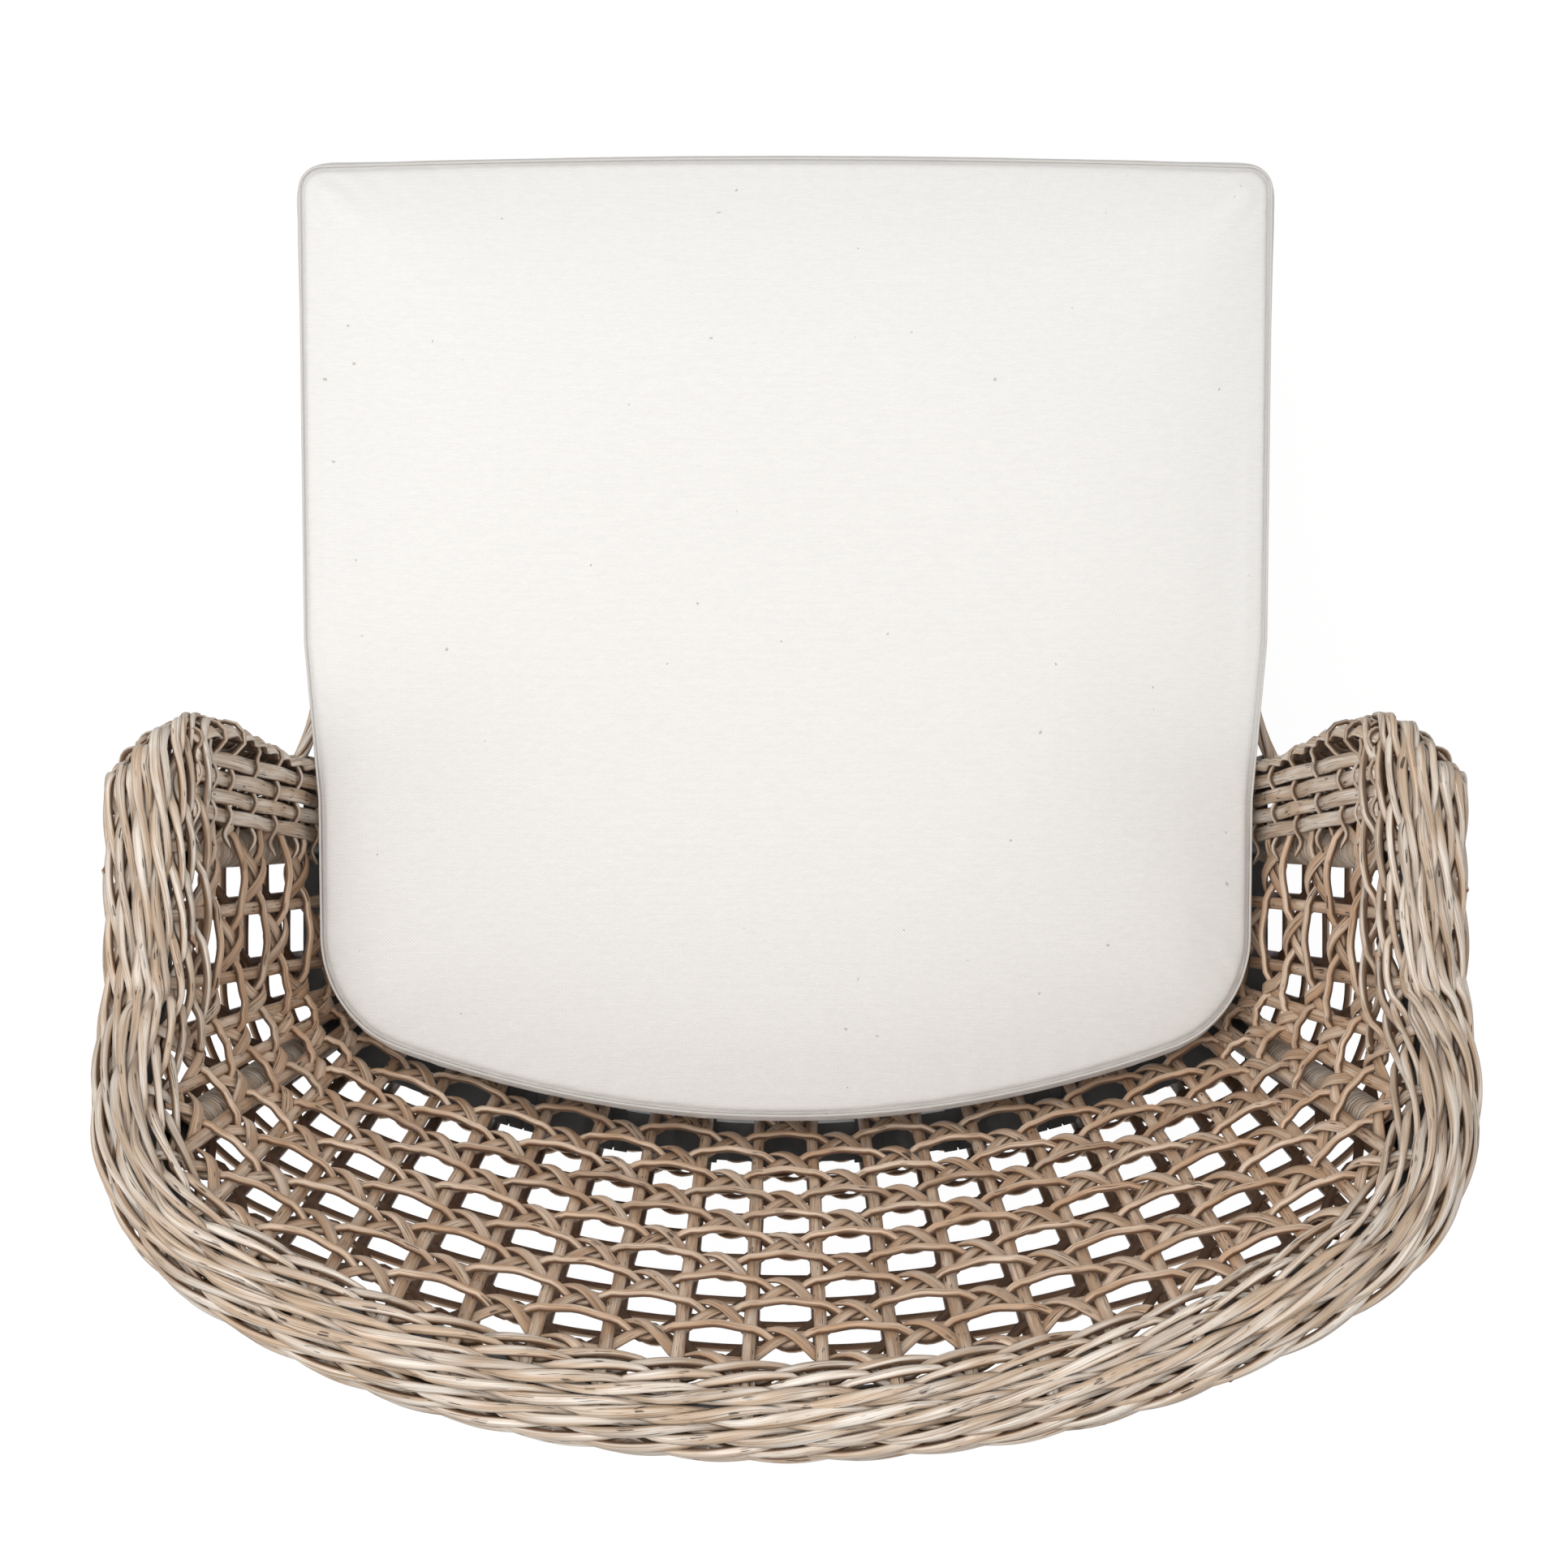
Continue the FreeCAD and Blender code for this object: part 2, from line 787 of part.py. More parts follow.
def makeHoop():
    radius = size("hoopDiameter") / 2
    inset = insetAt(size("hoopHeight"), outerInset + stakeRadius + clearance + radius)
    feature("base_hoop", pipeAlong(closedPlanWire(inset, size("hoopHeight") + clearance), radius))


def makeLegs():
    top = size("seatRailTop") - size("seatRailHeight")
    for label, place in legPlaces().items():
        length = top - size("glideHeight")
        leg = tubeBody(
            label + "_leg",
            "legDiameter",
            "sizes.seatRailTop - sizes.seatRailHeight - sizes.glideHeight",
            length,
        )
        leg.Placement.Base = V(place.x, place.y, size("glideHeight"))
        low = size("glideHeight") + clearance
        high = size("stakeFoot") - 2 * clearance - size("borderDiameter")
        binding = bindingBody(label + "_leg_binding", "legDiameter", "legBinding", high - low)
        binding.Placement.Base = V(place.x, place.y, low)
        glideBody(label + "_glide", place)


def glideBody(label, place):
    """Nylon foot with a stem inside the leg tube."""
    body = newBody(label)
    foot = sketchOn(body, "XY_Plane", label + "_foot")
    addCircle(foot, "footRadius", "sizes.glideDiameter / 2", size("glideDiameter") / 2)
    pad = body.newObject("PartDesign::Pad", label + "_pad")
    pad.Profile = foot
    pad.setExpression("Length", "sizes.glideHeight")
    stem = sketchOn(body, "XY_Plane", label + "_stem")
    stemRadius = size("legDiameter") / 2 - tubeWall - clearance / 2
    expression = "sizes.legDiameter / 2 - sizes.tubeWall - sizes.clearance / 2"
    addCircle(stem, "stemRadius", expression, stemRadius)
    post = body.newObject("PartDesign::Pad", label + "_post")
    post.Profile = stem
    post.setExpression("Length", "sizes.glideHeight + sizes.glideStem")
    doc.recompute()
    rounding = body.newObject("PartDesign::Chamfer", label + "_edge")
    edges = []
    for index, edge in enumerate(post.Shape.Edges, start=1):
        low = edge.BoundBox
        if low.ZMax < 1e-6 and low.XLength > 2 * stemRadius + 1:
            edges.append(f"Edge{index}")
    rounding.Base = (post, edges[:1])
    rounding.Size = 2.0
    body.Tip = rounding
    body.Placement.Base = place


def makePosts():
    """Two bound posts in the rear corners and one in each arm front carry the top rail."""
    low = size("seatRailTop") + clearance + lean * size("postDiameter") / 2
    places = {
        "rear_left_post": -(STARTS[1] + LENGTHS[1] * 0.42),
        "rear_right_post": STARTS[1] + LENGTHS[1] * 0.42,
        "left_arm_post": -(noseStation - size("armPostSetback")),
        "right_arm_post": noseStation - size("armPostSetback"),
    }
    for label, station in places.items():
        slope = rimSlope(station)
        postRadius = size("postDiameter") / 2
        tilt = (slope + lean) * postRadius
        high = railCentre(station) - railRadius * math.hypot(1.0, slope) - tilt - clearance
        foot = wallPoint(station, insetAt(low, middleInset), low)
        head = wallPoint(station, insetAt(high, middleInset), high)
        axis = head - foot
        turn = FreeCAD.Rotation(V(0, 0, 1), axis)
        post = tubeBody(label, "postDiameter", "", axis.Length)
        post.Placement = FreeCAD.Placement(foot, turn)
        margin = size("postBinding") + size("postDiameter") / 2
        binding = bindingBody(label + "_binding", "postDiameter", "postBinding", axis.Length - 2 * margin)
        binding.Placement = FreeCAD.Placement(foot + axis * (margin / axis.Length), turn)


# The seat deck

def rearRailAt(x, inset):
    radius = size("rearRadius") - inset
    return size("planRear") - size("rearRadius") + math.sqrt(radius ** 2 - x ** 2)


def strapBlock(x, grow):
    """Block that reaches grow beyond the front rail and the rear rail, its rear end along the rail."""
    half = size("strapWidth") / 2
    face = seatRailInset() - seatRailWidth() / 2
    front = face - size("planFront") - grow
    low = size("seatRailTop") - size("seatRailHeight") - grow
    corners = [
        V(x - half, front, low),
        V(x + half, front, low),
        V(x + half, rearRailAt(x + half, face) + grow, low),
        V(x - half, rearRailAt(x - half, face) + grow, low),
    ]
    outline = Part.makePolygon(corners + corners[:1])
    return Part.Face(outline).extrude(V(0, 0, size("seatRailHeight") + 2 * grow))


def strapLoop(x):
    """Flat strap laid round the front and rear rails as one loop."""
    return strapBlock(x, clearance + size("strapThickness")).cut(strapBlock(x, clearance))


def makeStraps():
    groups = int(size("strapGroups"))
    each = int(size("strapGroup"))
    pitch = size("strapWidth") + size("strapGap")
    for group in range(groups):
        middle = (group - (groups - 1) / 2) * size("strapGroupPitch")
        straps = []
        for index in range(each):
            straps.append(strapLoop(middle + (index - (each - 1) / 2) * pitch))
        feature(f"seat_straps_{group + 1}", straps)


# The cushion

def wallFace():
    """Inset of the inner wall's weave at the height of the cushion's top seam."""
    return insetAt(seamHeight(), innerInset) + stakeRadius + clearance + 2 * rowRadius


def cushionHalf():
    """Half the cushion's width at the rear, from the walls it sits between."""
    return size("planHalfWidth") - wallFace() - size("cushionSideGap")


def cushionRear():
    return size("planRear") - wallFace() - size("cushionRearGap")


def cushionCorner():
    return size("rearCornerRadius") - size("cushionCornerStep")


def cushionRearRadius():
    return size("rearRadius") - size("cushionRearStep")


def cushionWire(inset, z):
    """Outline of the cushion drawn in by inset: bowed front, tapering sides, curved rear."""
    squeeze = squeezeAt(z)
    narrowing = squeeze * size("cushionSideSqueeze") * lean * size("cushionThickness")
    xf = cushionHalf() + size("cushionFrontFlare") - inset - 0.3 * narrowing
    xr = cushionHalf() - inset - narrowing
    rf = max(size("cushionFrontCorner") - inset, size("cushionFrontCorner") / 3)
    rr = max(cushionCorner() - inset, cushionCorner() / 3)
    front = size("cushionFrontSetback") - size("planFront") + inset
    drawn = inset + squeeze ** 2 * size("cushionRearSqueeze")
    rear = cushionRear() - drawn
    big = cushionRearRadius() - drawn
    bow = size("cushionFrontBow")
    bigY = rear - big
    cornerX = xr - rr
    cornerY = bigY + math.sqrt((big - rr) ** 2 - cornerX ** 2)
    angle = math.atan2(cornerY - bigY, cornerX)
    tangent = V(cornerX + rr * math.cos(angle), cornerY + rr * math.sin(angle), z)
    half = angle / 2
    middle = V(cornerX + rr * math.cos(half), cornerY + rr * math.sin(half), z)
    slant = math.sqrt(0.5)

    def flip(point):
        return V(-point.x, point.y, point.z)

    frontCentre = V(xf - rf, front + rf, z)
    frontPoints = [
        V(xf - rf, front, z),
        frontCentre + V(slant, -slant, 0) * rf,
        V(xf, front + rf, z),
    ]
    right = [
        Part.Arc(*frontPoints),
        Part.LineSegment(frontPoints[2], V(xr, cornerY, z)),
        Part.Arc(V(xr, cornerY, z), middle, tangent),
    ]
    left = [
        Part.Arc(flip(tangent), flip(middle), V(-xr, cornerY, z)),
        Part.LineSegment(V(-xr, cornerY, z), flip(frontPoints[2])),
        Part.Arc(*[flip(point) for point in reversed(frontPoints)]),
    ]
    rearArc = [Part.Arc(tangent, V(0, rear, z), flip(tangent))]
    frontArc = [Part.Arc(flip(frontPoints[0]), V(0, front - bow, z), frontPoints[0])]
    return Part.Wire([curve.toShape() for curve in right + rearArc + left + frontArc])


def cushionBottom():
    return deckTop() + clearance


def seamHeight():
    """Height of the seam round the top panel."""
    return cushionBottom() + 0.965 * size("cushionThickness")


def squeezeAt(z):
    """Share of the way down from the top seam to the bottom, where the leaning walls press in."""
    return min(max((seamHeight() - z) / (seamHeight() - cushionBottom()), 0.0), 1.0)


def cushionSolid(skin):
    """Boxed cushion with full sides and a crowned top, drawn in all round by skin."""
    bottom = cushionBottom()
    thick = size("cushionThickness")
    crown = size("cushionCrown")
    half = cushionHalf()
    sections = [
        (16.0, 0.0),
        (7.0, 0.045 * thick),
        (2.0, 0.16 * thick),
        (0.0, 0.5 * thick),
        (2.0, 0.84 * thick),
        (8.0, 0.965 * thick),
        (22.0, thick + 0.25 * crown),
        (0.234 * half, thick + 0.68 * crown),
        (0.435 * half, thick + 0.93 * crown),
        (0.585 * half, thick + crown),
    ]
    total = thick + crown
    wires = []
    for inset, height in sections:
        z = bottom + skin + height * (total - 2 * skin) / total
        wires.append(cushionWire(inset + skin, z))
    return Part.makeLoft(wires, True, True)


def makeCushion():
    cover = size("coverThickness")
    feature("cushion_cover", cushionSolid(0.0).cut(cushionSolid(cover)))
    feature("foam_core", cushionSolid(cover + clearance))


def zipperCentre():
    return V(0, cushionRear() - cushionRearRadius(), 0)


def zipperHalfAngle():
    """The zip stops short of where the rear corners begin."""
    corner = cushionCorner()
    start = math.asin((cushionHalf() - corner) / (cushionRearRadius() - corner))
    return start - size("zipperEndGap") / cushionRearRadius()


def zipperBand(inner, outer, low, high, halfAngle):
    centre = zipperCentre()
    wires = []
    for radius in (inner, outer):
        arc = []
        for turn in (-halfAngle, 0, halfAngle):
            arc.append(V(radius * math.sin(turn), radius * math.cos(turn), low) + centre)
        wires.append(arc)
    a, b = wires
    wire = Part.Wire([
        Part.Arc(a[0], a[1], a[2]).toShape(),
        Part.LineSegment(a[2], b[2]).toShape(),
        Part.Arc(b[2], b[1], b[0]).toShape(),
        Part.LineSegment(b[0], a[0]).toShape(),
    ])
    return Part.Face(wire).extrude(V(0, 0, high - low))


def zipperHeightMiddle():
    return cushionBottom() + size("cushionThickness") * 0.5


def makeZipper():
    half = size("zipperHeight") / 2
    middle = zipperHeightMiddle()
    drawn = squeezeAt(middle + half) ** 2 * size("cushionRearSqueeze")
    radius = cushionRearRadius() - drawn + clearance
    angle = zipperHalfAngle()
    tape = zipperBand(radius, radius + size("zipperTape"), middle - half, middle + half, angle)
    teeth = zipperBand(
        radius + size("zipperTape"),
        radius + 2 * size("zipperTape"),
        middle - half / 4,
        middle + half / 4,
        angle,
    )
    feature("zipper_tape", tape.fuse(teeth).removeSplitter())
    outer = radius + 2 * size("zipperTape") + clearance
    sliderBody("zipper_slider", outer, angle, middle)
    pullBody("zipper_pull", outer, angle, middle)


def sliderAngle(angle):
    return angle - math.radians(1.0)


def sliderPlacement(radius, angle, z):
    """Frame at the zipper's end: local Y points out from the cushion."""
    turned = sliderAngle(angle)
    place = zipperCentre() + V(-radius * math.sin(turned), radius * math.cos(turned), z)
    return FreeCAD.Placement(place, FreeCAD.Rotation(V(0, 0, 1), math.degrees(turned)))


def sliderBody(label, radius, angle, z):
    body = newBody(label)
    sketch = sketchOn(body, "XZ_Plane", label + "_face")
    width = size("sliderWidth") / 2
    tall = size("sliderHeight") / 2
    corners = [V(-width, -tall, 0), V(width, -tall, 0), V(width * 0.8, tall, 0), V(-width * 0.8, tall, 0)]
    for index in range(4):
        sketch.addGeometry(Part.LineSegment(corners[index], corners[(index + 1) % 4]), False)
    for index in range(4):
        sketch.addConstraint(Sketcher.Constraint("Coincident", index, 2, (index + 1) % 4, 1))
    pad = body.newObject("PartDesign::Pad", label + "_block")
    pad.Profile = sketch
    pad.setExpression("Length", "sizes.sliderDepth / 2")
    pad.Reversed = True
    doc.recompute()
    edges = []
    for index, edge in enumerate(pad.Shape.Edges, start=1):
        box = edge.BoundBox
        if box.YLength > size("sliderDepth") / 2 - 0.01:
            edges.append(f"Edge{index}")
    fillet = body.newObject("PartDesign::Fillet", label + "_corners")
    fillet.Base = (pad, edges)
    fillet.Radius = 1.2
    body.Tip = fillet
    body.Placement = sliderPlacement(radius, angle, z)


def pullPivot():
    return size("sliderDepth") / 2 + clearance + size("pullThickness") / 2


def pullBody(label, radius, angle, z):
    """Flat tab that hangs beside the slider and swings up about its top edge."""
    body = newBody(label)
    sketch = sketchOn(body, "XZ_Plane", label + "_face")
    half = size("pullWidth") / 2
    length = size("pullLength")
    straight = length - half
    top = half * 0.4
    geometry = [
        Part.LineSegment(V(-half, top, 0), V(-half, -straight, 0)),
        Part.Arc(V(-half, -straight, 0), V(0, -straight - half, 0), V(half, -straight, 0)),
        Part.LineSegment(V(half, -straight, 0), V(half, top, 0)),
        Part.LineSegment(V(half, top, 0), V(-half, top, 0)),
        Part.Circle(V(0, -straight, 0), V(0, 0, 1), half * 0.45),
    ]
    for item in geometry:
        sketch.addGeometry(item, False)
    pad = body.newObject("PartDesign::Pad", label + "_plate")
    pad.Profile = sketch
    pad.setExpression("Length", "sizes.pullThickness")
    pad.Reversed = True
    placement = sliderPlacement(radius, angle, z)
    offset = placement.Rotation.multVec(V(0, pullPivot() - size("pullThickness") / 2, 0))
    body.Placement = FreeCAD.Placement(placement.Base + offset, placement.Rotation)


makeStakes()
makeRows()
makeBorders()
makeRim()
makeRail()
makeBows()
feature("arm_front_left", frontPanel(-1))
feature("arm_front_right", frontPanel(1))
makeSeatRails()
makeHoop()
makeLegs()
crossBar("rear_cross_bar", legPlaces()["rear_left"].y)
crossBar("front_cross_bar", legPlaces()["front_left"].y)
crossBar("middle_cross_bar", (legPlaces()["rear_left"].y + legPlaces()["front_left"].y) / 2)
makePosts()
makeStraps()
makeCushion()
makeZipper()
doc.recompute()

for item in doc.Objects:
    if "Invalid" in item.State or "Error" in item.State:
        raise RuntimeError(f"{item.Label} failed: {item.State}")
for item in parts:
    if item.Shape.isNull() or not item.Shape.isValid():
        raise RuntimeError(f"{item.Label} has no valid shape")

os.makedirs("parts", exist_ok=True)
for item in parts:
    item.Shape.exportStep(f"parts/{item.Label}.step")
    print(item.Label, len(item.Shape.Solids), round(item.Shape.Volume))
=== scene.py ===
import math

import bmesh
import bpy
import numpy as np
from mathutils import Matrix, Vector
from mathutils.kdtree import KDTree


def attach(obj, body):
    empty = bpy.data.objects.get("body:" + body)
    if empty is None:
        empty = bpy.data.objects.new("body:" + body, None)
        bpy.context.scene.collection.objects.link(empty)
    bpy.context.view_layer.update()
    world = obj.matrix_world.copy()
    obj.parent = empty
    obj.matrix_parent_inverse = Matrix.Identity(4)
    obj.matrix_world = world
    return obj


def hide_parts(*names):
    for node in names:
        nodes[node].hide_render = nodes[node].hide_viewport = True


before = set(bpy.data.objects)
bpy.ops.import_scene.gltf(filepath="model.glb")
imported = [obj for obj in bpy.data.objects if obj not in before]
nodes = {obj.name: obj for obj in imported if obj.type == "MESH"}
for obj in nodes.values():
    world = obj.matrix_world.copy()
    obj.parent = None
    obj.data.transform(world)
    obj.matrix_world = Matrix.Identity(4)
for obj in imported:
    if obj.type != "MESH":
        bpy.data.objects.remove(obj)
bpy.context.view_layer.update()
scene = bpy.context.scene
scene.view_settings.view_transform = "Standard"
dice = np.random.default_rng(7)

# Camera: straight above the chair, the front of the seat at the top of the picture

camera = {"height": 2.5, "nadirY": 0.020, "lens": 74.5, "shiftX": -0.001}
cameraData = bpy.data.cameras.new("camera")
cameraData.lens = camera["lens"]
cameraData.shift_x = camera["shiftX"]
cameraObject = bpy.data.objects.new("camera", cameraData)
cameraObject.location = (0, camera["nadirY"], camera["height"])
cameraObject.rotation_euler = (0, 0, math.pi)
scene.collection.objects.link(cameraObject)
scene.camera = cameraObject

# The plan curve of the walls, in metres

plan = {
    "height": 0.620,
    "halfWidth": 0.397,
    "rear": 0.3475,
    "front": 0.428,
    "rearRadius": 0.741,
    "rearCorner": 0.145,
    "frontCorner": 0.155,
    "armFront": 0.036,
    "turnRadius": 0.150,
    "turnAngle": 26,
    "returnRadius": 0.060,
    "taper": 3,
    "lean": 0.21,
    "armTop": 0.640,
    "backTop": 0.800,
    "riseStart": 0.130,
    "outerInset": 0.005,
    "innerInset": 0.047,
    "stakePitch": 0.0397,
    "archRadius": 0.0225,
    "waleRadius": 0.00475,
    "noseBackLean": 0.09,
}
deckTop = 0.3371
rowPitch = 0.037
firstRow = 0.137


def planLine():  # points and normals of the plan's right half, by distance from the back's middle
    p = plan
    quarter = math.pi / 2
    rearY = p["rear"] - p["rearRadius"]
    cornerX = p["halfWidth"] - p["rearCorner"]
    cornerY = rearY + math.sqrt((p["rearRadius"] - p["rearCorner"]) ** 2 - cornerX ** 2)
    rearAngle = math.atan2(cornerX, cornerY - rearY)
    turn = math.radians(p["turnAngle"])
    taper = math.radians(p["taper"])
    turnC = np.array([p["halfWidth"] - p["turnRadius"], p["armFront"]])
    returnC = turnC + np.array([math.cos(turn), -math.sin(turn)]) * (p["turnRadius"] + p["returnRadius"])
    outward = np.array([math.cos(taper), -math.sin(taper)])
    turnEnd = returnC - outward * p["returnRadius"]
    drop = turnEnd[1] + p["frontCorner"] * math.sin(taper) + p["front"] - p["frontCorner"]
    run = drop / math.cos(taper)
    side = np.array([-math.sin(taper), -math.cos(taper)])
    frontC = turnEnd + side * run - outward * p["frontCorner"]
    arcs = [
        (np.array([0, rearY]), p["rearRadius"], quarter, quarter - rearAngle),
        (np.array([cornerX, cornerY]), p["rearCorner"], quarter - rearAngle, 0.0),
        (np.array([p["halfWidth"], cornerY]), np.array([p["halfWidth"], p["armFront"]]), 0.0, None),
        (turnC, p["turnRadius"], 0.0, -turn),
        (returnC, -p["returnRadius"], -turn, -taper),
        (turnEnd, turnEnd + side * run, -taper, None),
        (frontC, p["frontCorner"], -taper, -quarter),
        (frontC - np.array([0, p["frontCorner"]]), np.array([0, frontC[1] - p["frontCorner"]]),
         -quarter, None),
    ]
    marks = [0.0]
    distances, points, normals = [], [], []
    share = np.linspace(0, 1, 400)
    for first, second, third, fourth in arcs:  # arcs by centre, radius and angles; lines by their ends
        if fourth is None:
            length = float(np.linalg.norm(second - first))
            where = first + np.outer(share, second - first)
            angle = np.full(400, third)
        else:
            length = abs(second) * abs(fourth - third)
            angle = third + (fourth - third) * share
            where = first + second * np.stack([np.cos(angle), np.sin(angle)], 1)
        distances.append(marks[-1] + share * length)
        points.append(where)
        normals.append(np.stack([np.cos(angle), np.sin(angle)], 1))
        marks.append(marks[-1] + length)
    return np.concatenate(distances), np.concatenate(points), np.concatenate(normals), marks


planDistance, planPoints, planNormals, planMarks = planLine()
noseStation = planMarks[3]
frontMiddle = planMarks[8]
pitch = noseStation / round(noseStation / plan["stakePitch"])


def planAt(stations):  # signed stations; past the middle of the front they carry on round
    s = np.atleast_1d(np.asarray(stations, float))
    s = (s + frontMiddle) % (2 * frontMiddle) - frontMiddle
    found = []
    for table in (planPoints[:, 0], planPoints[:, 1], planNormals[:, 0], planNormals[:, 1]):
        found.append(np.interp(np.abs(s), planDistance, table))
    sign = np.where(s < 0, -1.0, 1.0)
    normal = np.stack([found[2] * sign, found[3]], 1)
    normal /= np.linalg.norm(normal, axis=1)[:, None]
    return np.stack([found[0] * sign, found[1]], 1), normal


def wallPoints(stations, inset, heights):  # points of the leaning wall and their outward directions
    where, normal = planAt(stations)
    z = np.broadcast_to(np.asarray(heights, float), (len(where),))
    level = np.asarray(inset) + plan["lean"] * (plan["height"] - z)
    where = where - normal * np.reshape(level, (-1, 1))
    return np.column_stack([where, z]), np.column_stack([normal, np.zeros(len(z))])


def rimTop(stations):
    where, _ = planAt(stations)
    share = (where[:, 1] - plan["riseStart"]) / (plan["rear"] - plan["riseStart"])
    share = np.clip(np.where(np.abs(stations) > noseStation, 0, share), 0, 1)
    return plan["armTop"] + (plan["backTop"] - plan["armTop"]) * share * share * (3 - 2 * share)


def railHeight(stations):
    return rimTop(stations) - plan["archRadius"] - plan["waleRadius"]


def unit(vectors):
    return vectors / np.maximum(np.linalg.norm(vectors, axis=1), 1e-12)[:, None]


# Strands: every woven piece is a set of tubes of oval section swept along a path

tubeCards = {}


def tubeCard(steps, sides):  # a flat grid with UVs that strands are rolled from
    key = (steps, sides)
    if key not in tubeCards:
        sheet = bmesh.new()
        sheet.loops.layers.uv.new("UVMap")
        bmesh.ops.create_grid(sheet, x_segments=steps, y_segments=sides, size=0.5, calc_uvs=True)
        mesh = bpy.data.meshes.new("tubeCard")
        sheet.to_mesh(mesh)
        sheet.free()
        corners = np.zeros(len(mesh.vertices) * 3)
        mesh.vertices.foreach_get("co", corners)
        corners = corners.reshape(-1, 3)
        corners -= corners.min(0)
        along = np.rint(corners[:, 0] / corners[:, 0].max() * steps).astype(int)
        around = np.rint(corners[:, 1] / corners[:, 1].max() * sides).astype(int)
        uv = np.zeros(len(mesh.loops) * 2)
        mesh.uv_layers[0].data.foreach_get("uv", uv)
        tubeCards[key] = (mesh, along, around, uv.reshape(-1, 2))
    return tubeCards[key]


# up is where the flat face looks; squareness 1 is an oval
def strand(path, up, width, thick, sides=8, taper=0.0, squareness=0.82):
    path = np.asarray(path, float)
    count = len(path)
    forward = unit(np.gradient(path, axis=0))
    up = np.broadcast_to(np.asarray(up, float), path.shape)
    up = unit(up - forward * np.sum(up * forward, 1)[:, None])
    across = np.cross(forward, up)
    w = np.broadcast_to(np.asarray(width, float), (count,)) / 2
    t = np.broadcast_to(np.asarray(thick, float), (count,)) / 2
    if taper > 0:
        step = np.linspace(0, 1, count)
        end = np.clip(np.minimum(step, 1 - step) / taper, 0.15, 1) ** 0.5
        w, t = w * end, t * end
    angle = np.linspace(0, 2 * math.pi, sides + 1)
    cosine, sine = np.cos(angle), np.sin(angle)
    cosine = np.sign(cosine) * np.abs(cosine) ** squareness
    sine = np.sign(sine) * np.abs(sine) ** squareness
    ring = (
        path[:, None, :]
        + across[:, None, :] * (w[:, None] * cosine)[:, :, None]
        + up[:, None, :] * (t[:, None] * sine)[:, :, None]
    )
    ring[:, -1] = ring[:, 0]
    length = float(np.sum(np.linalg.norm(np.diff(path, axis=0), axis=1)))
    return ring, length


def strandPiece(name, strands, material, body="chair", replaces=()):
    joined = bmesh.new()
    joined.loops.layers.uv.new("UVMap")
    for index, (ring, length) in enumerate(strands):
        steps, sides = ring.shape[0] - 1, ring.shape[1] - 1
        card, along, around, uv = tubeCard(steps, sides)
        mesh = card.copy()
        mesh.vertices.foreach_set("co", ring[along, around].ravel())
        placed = np.column_stack([
            uv[:, 0] * length + 0.37 * (index % 23),
            index + 0.01 + 0.98 * uv[:, 1],
        ])
        mesh.uv_layers[0].data.foreach_set("uv", placed.ravel())
        joined.from_mesh(mesh)
        bpy.data.meshes.remove(mesh)
    bmesh.ops.remove_doubles(joined, verts=joined.verts, dist=2e-6)
    openEdges = [edge for edge in joined.edges if edge.is_boundary]
    if openEdges:
        bmesh.ops.holes_fill(joined, edges=openEdges, sides=24)
    bmesh.ops.recalc_face_normals(joined, faces=joined.faces)
    piece = bpy.data.objects.new(name, bpy.data.meshes.new(name))
    joined.to_mesh(piece.data)
    joined.free()
    piece.data.polygons.foreach_set("use_smooth", [True] * len(piece.data.polygons))
    piece.data.materials.append(material)
    scene.collection.objects.link(piece)
    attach(piece, body)
    if replaces:
        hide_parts(*replaces)
    print("built", name, len(piece.data.polygons), "faces")
    return piece


# Materials

def socketIn(group, name, kind, value):
    item = group.interface.new_socket(name=name, in_out="INPUT", socket_type=kind)
    item.default_value = value


def socketOut(group, name, kind):
    group.interface.new_socket(name=name, in_out="OUTPUT", socket_type=kind)


def node(tree, kind, **values):
    made = tree.nodes.new(kind)
    for key, value in values.items():
        if hasattr(made, key):
            setattr(made, key, value)
        else:
            made.inputs[key].default_value = value
    return made


def maths(tree, operation, first, second=None, third=None):
    made = tree.nodes.new("ShaderNodeMath")
    made.operation = operation
    for slotIndex, value in enumerate((first, second, third)):
        if value is None:
            continue
        if isinstance(value, (int, float)):
            made.inputs[slotIndex].default_value = value
        else:
            tree.links.new(value, made.inputs[slotIndex])
    return made.outputs[0]


def ramp(tree, value, stops):
    made = tree.nodes.new("ShaderNodeValToRGB")
    tree.links.new(value, made.inputs[0])
    band = made.color_ramp
    while len(band.elements) < len(stops):
        band.elements.new(0.5)
    for element, (position, colour) in zip(band.elements, stops):
        element.position = position
        if isinstance(colour, (int, float)):
            colour = (colour, colour, colour)
        element.color = (*colour, 1)
    return made.outputs[0]


def mixColour(tree, mode, factor, first, second):
    made = tree.nodes.new("ShaderNodeMix")
    made.data_type = "RGBA"
    made.blend_type = mode
    for slotIndex, value in ((0, factor), (6, first), (7, second)):
        if isinstance(value, (int, float)):
            made.inputs[slotIndex].default_value = value
        elif isinstance(value, tuple):
            made.inputs[slotIndex].default_value = (*value, 1)
        else:
            tree.links.new(value, made.inputs[slotIndex])
    return made.outputs[2]


cane = {
    "tan": (0.60, 0.44, 0.31),
    "pale": (0.86, 0.775, 0.68),
    "brown": (0.33, 0.21, 0.12),
    "crack": (0.035, 0.02, 0.012),
    # painted shade: colour for the backs and sides of the strands
    "edge": (0.30, 0.22, 0.16),
    # painted shade: a warmer, darker tint for the walls' cane, standing in for the shade between the walls
    "wallShadeTint": (0.96, 0.83, 0.72),
}


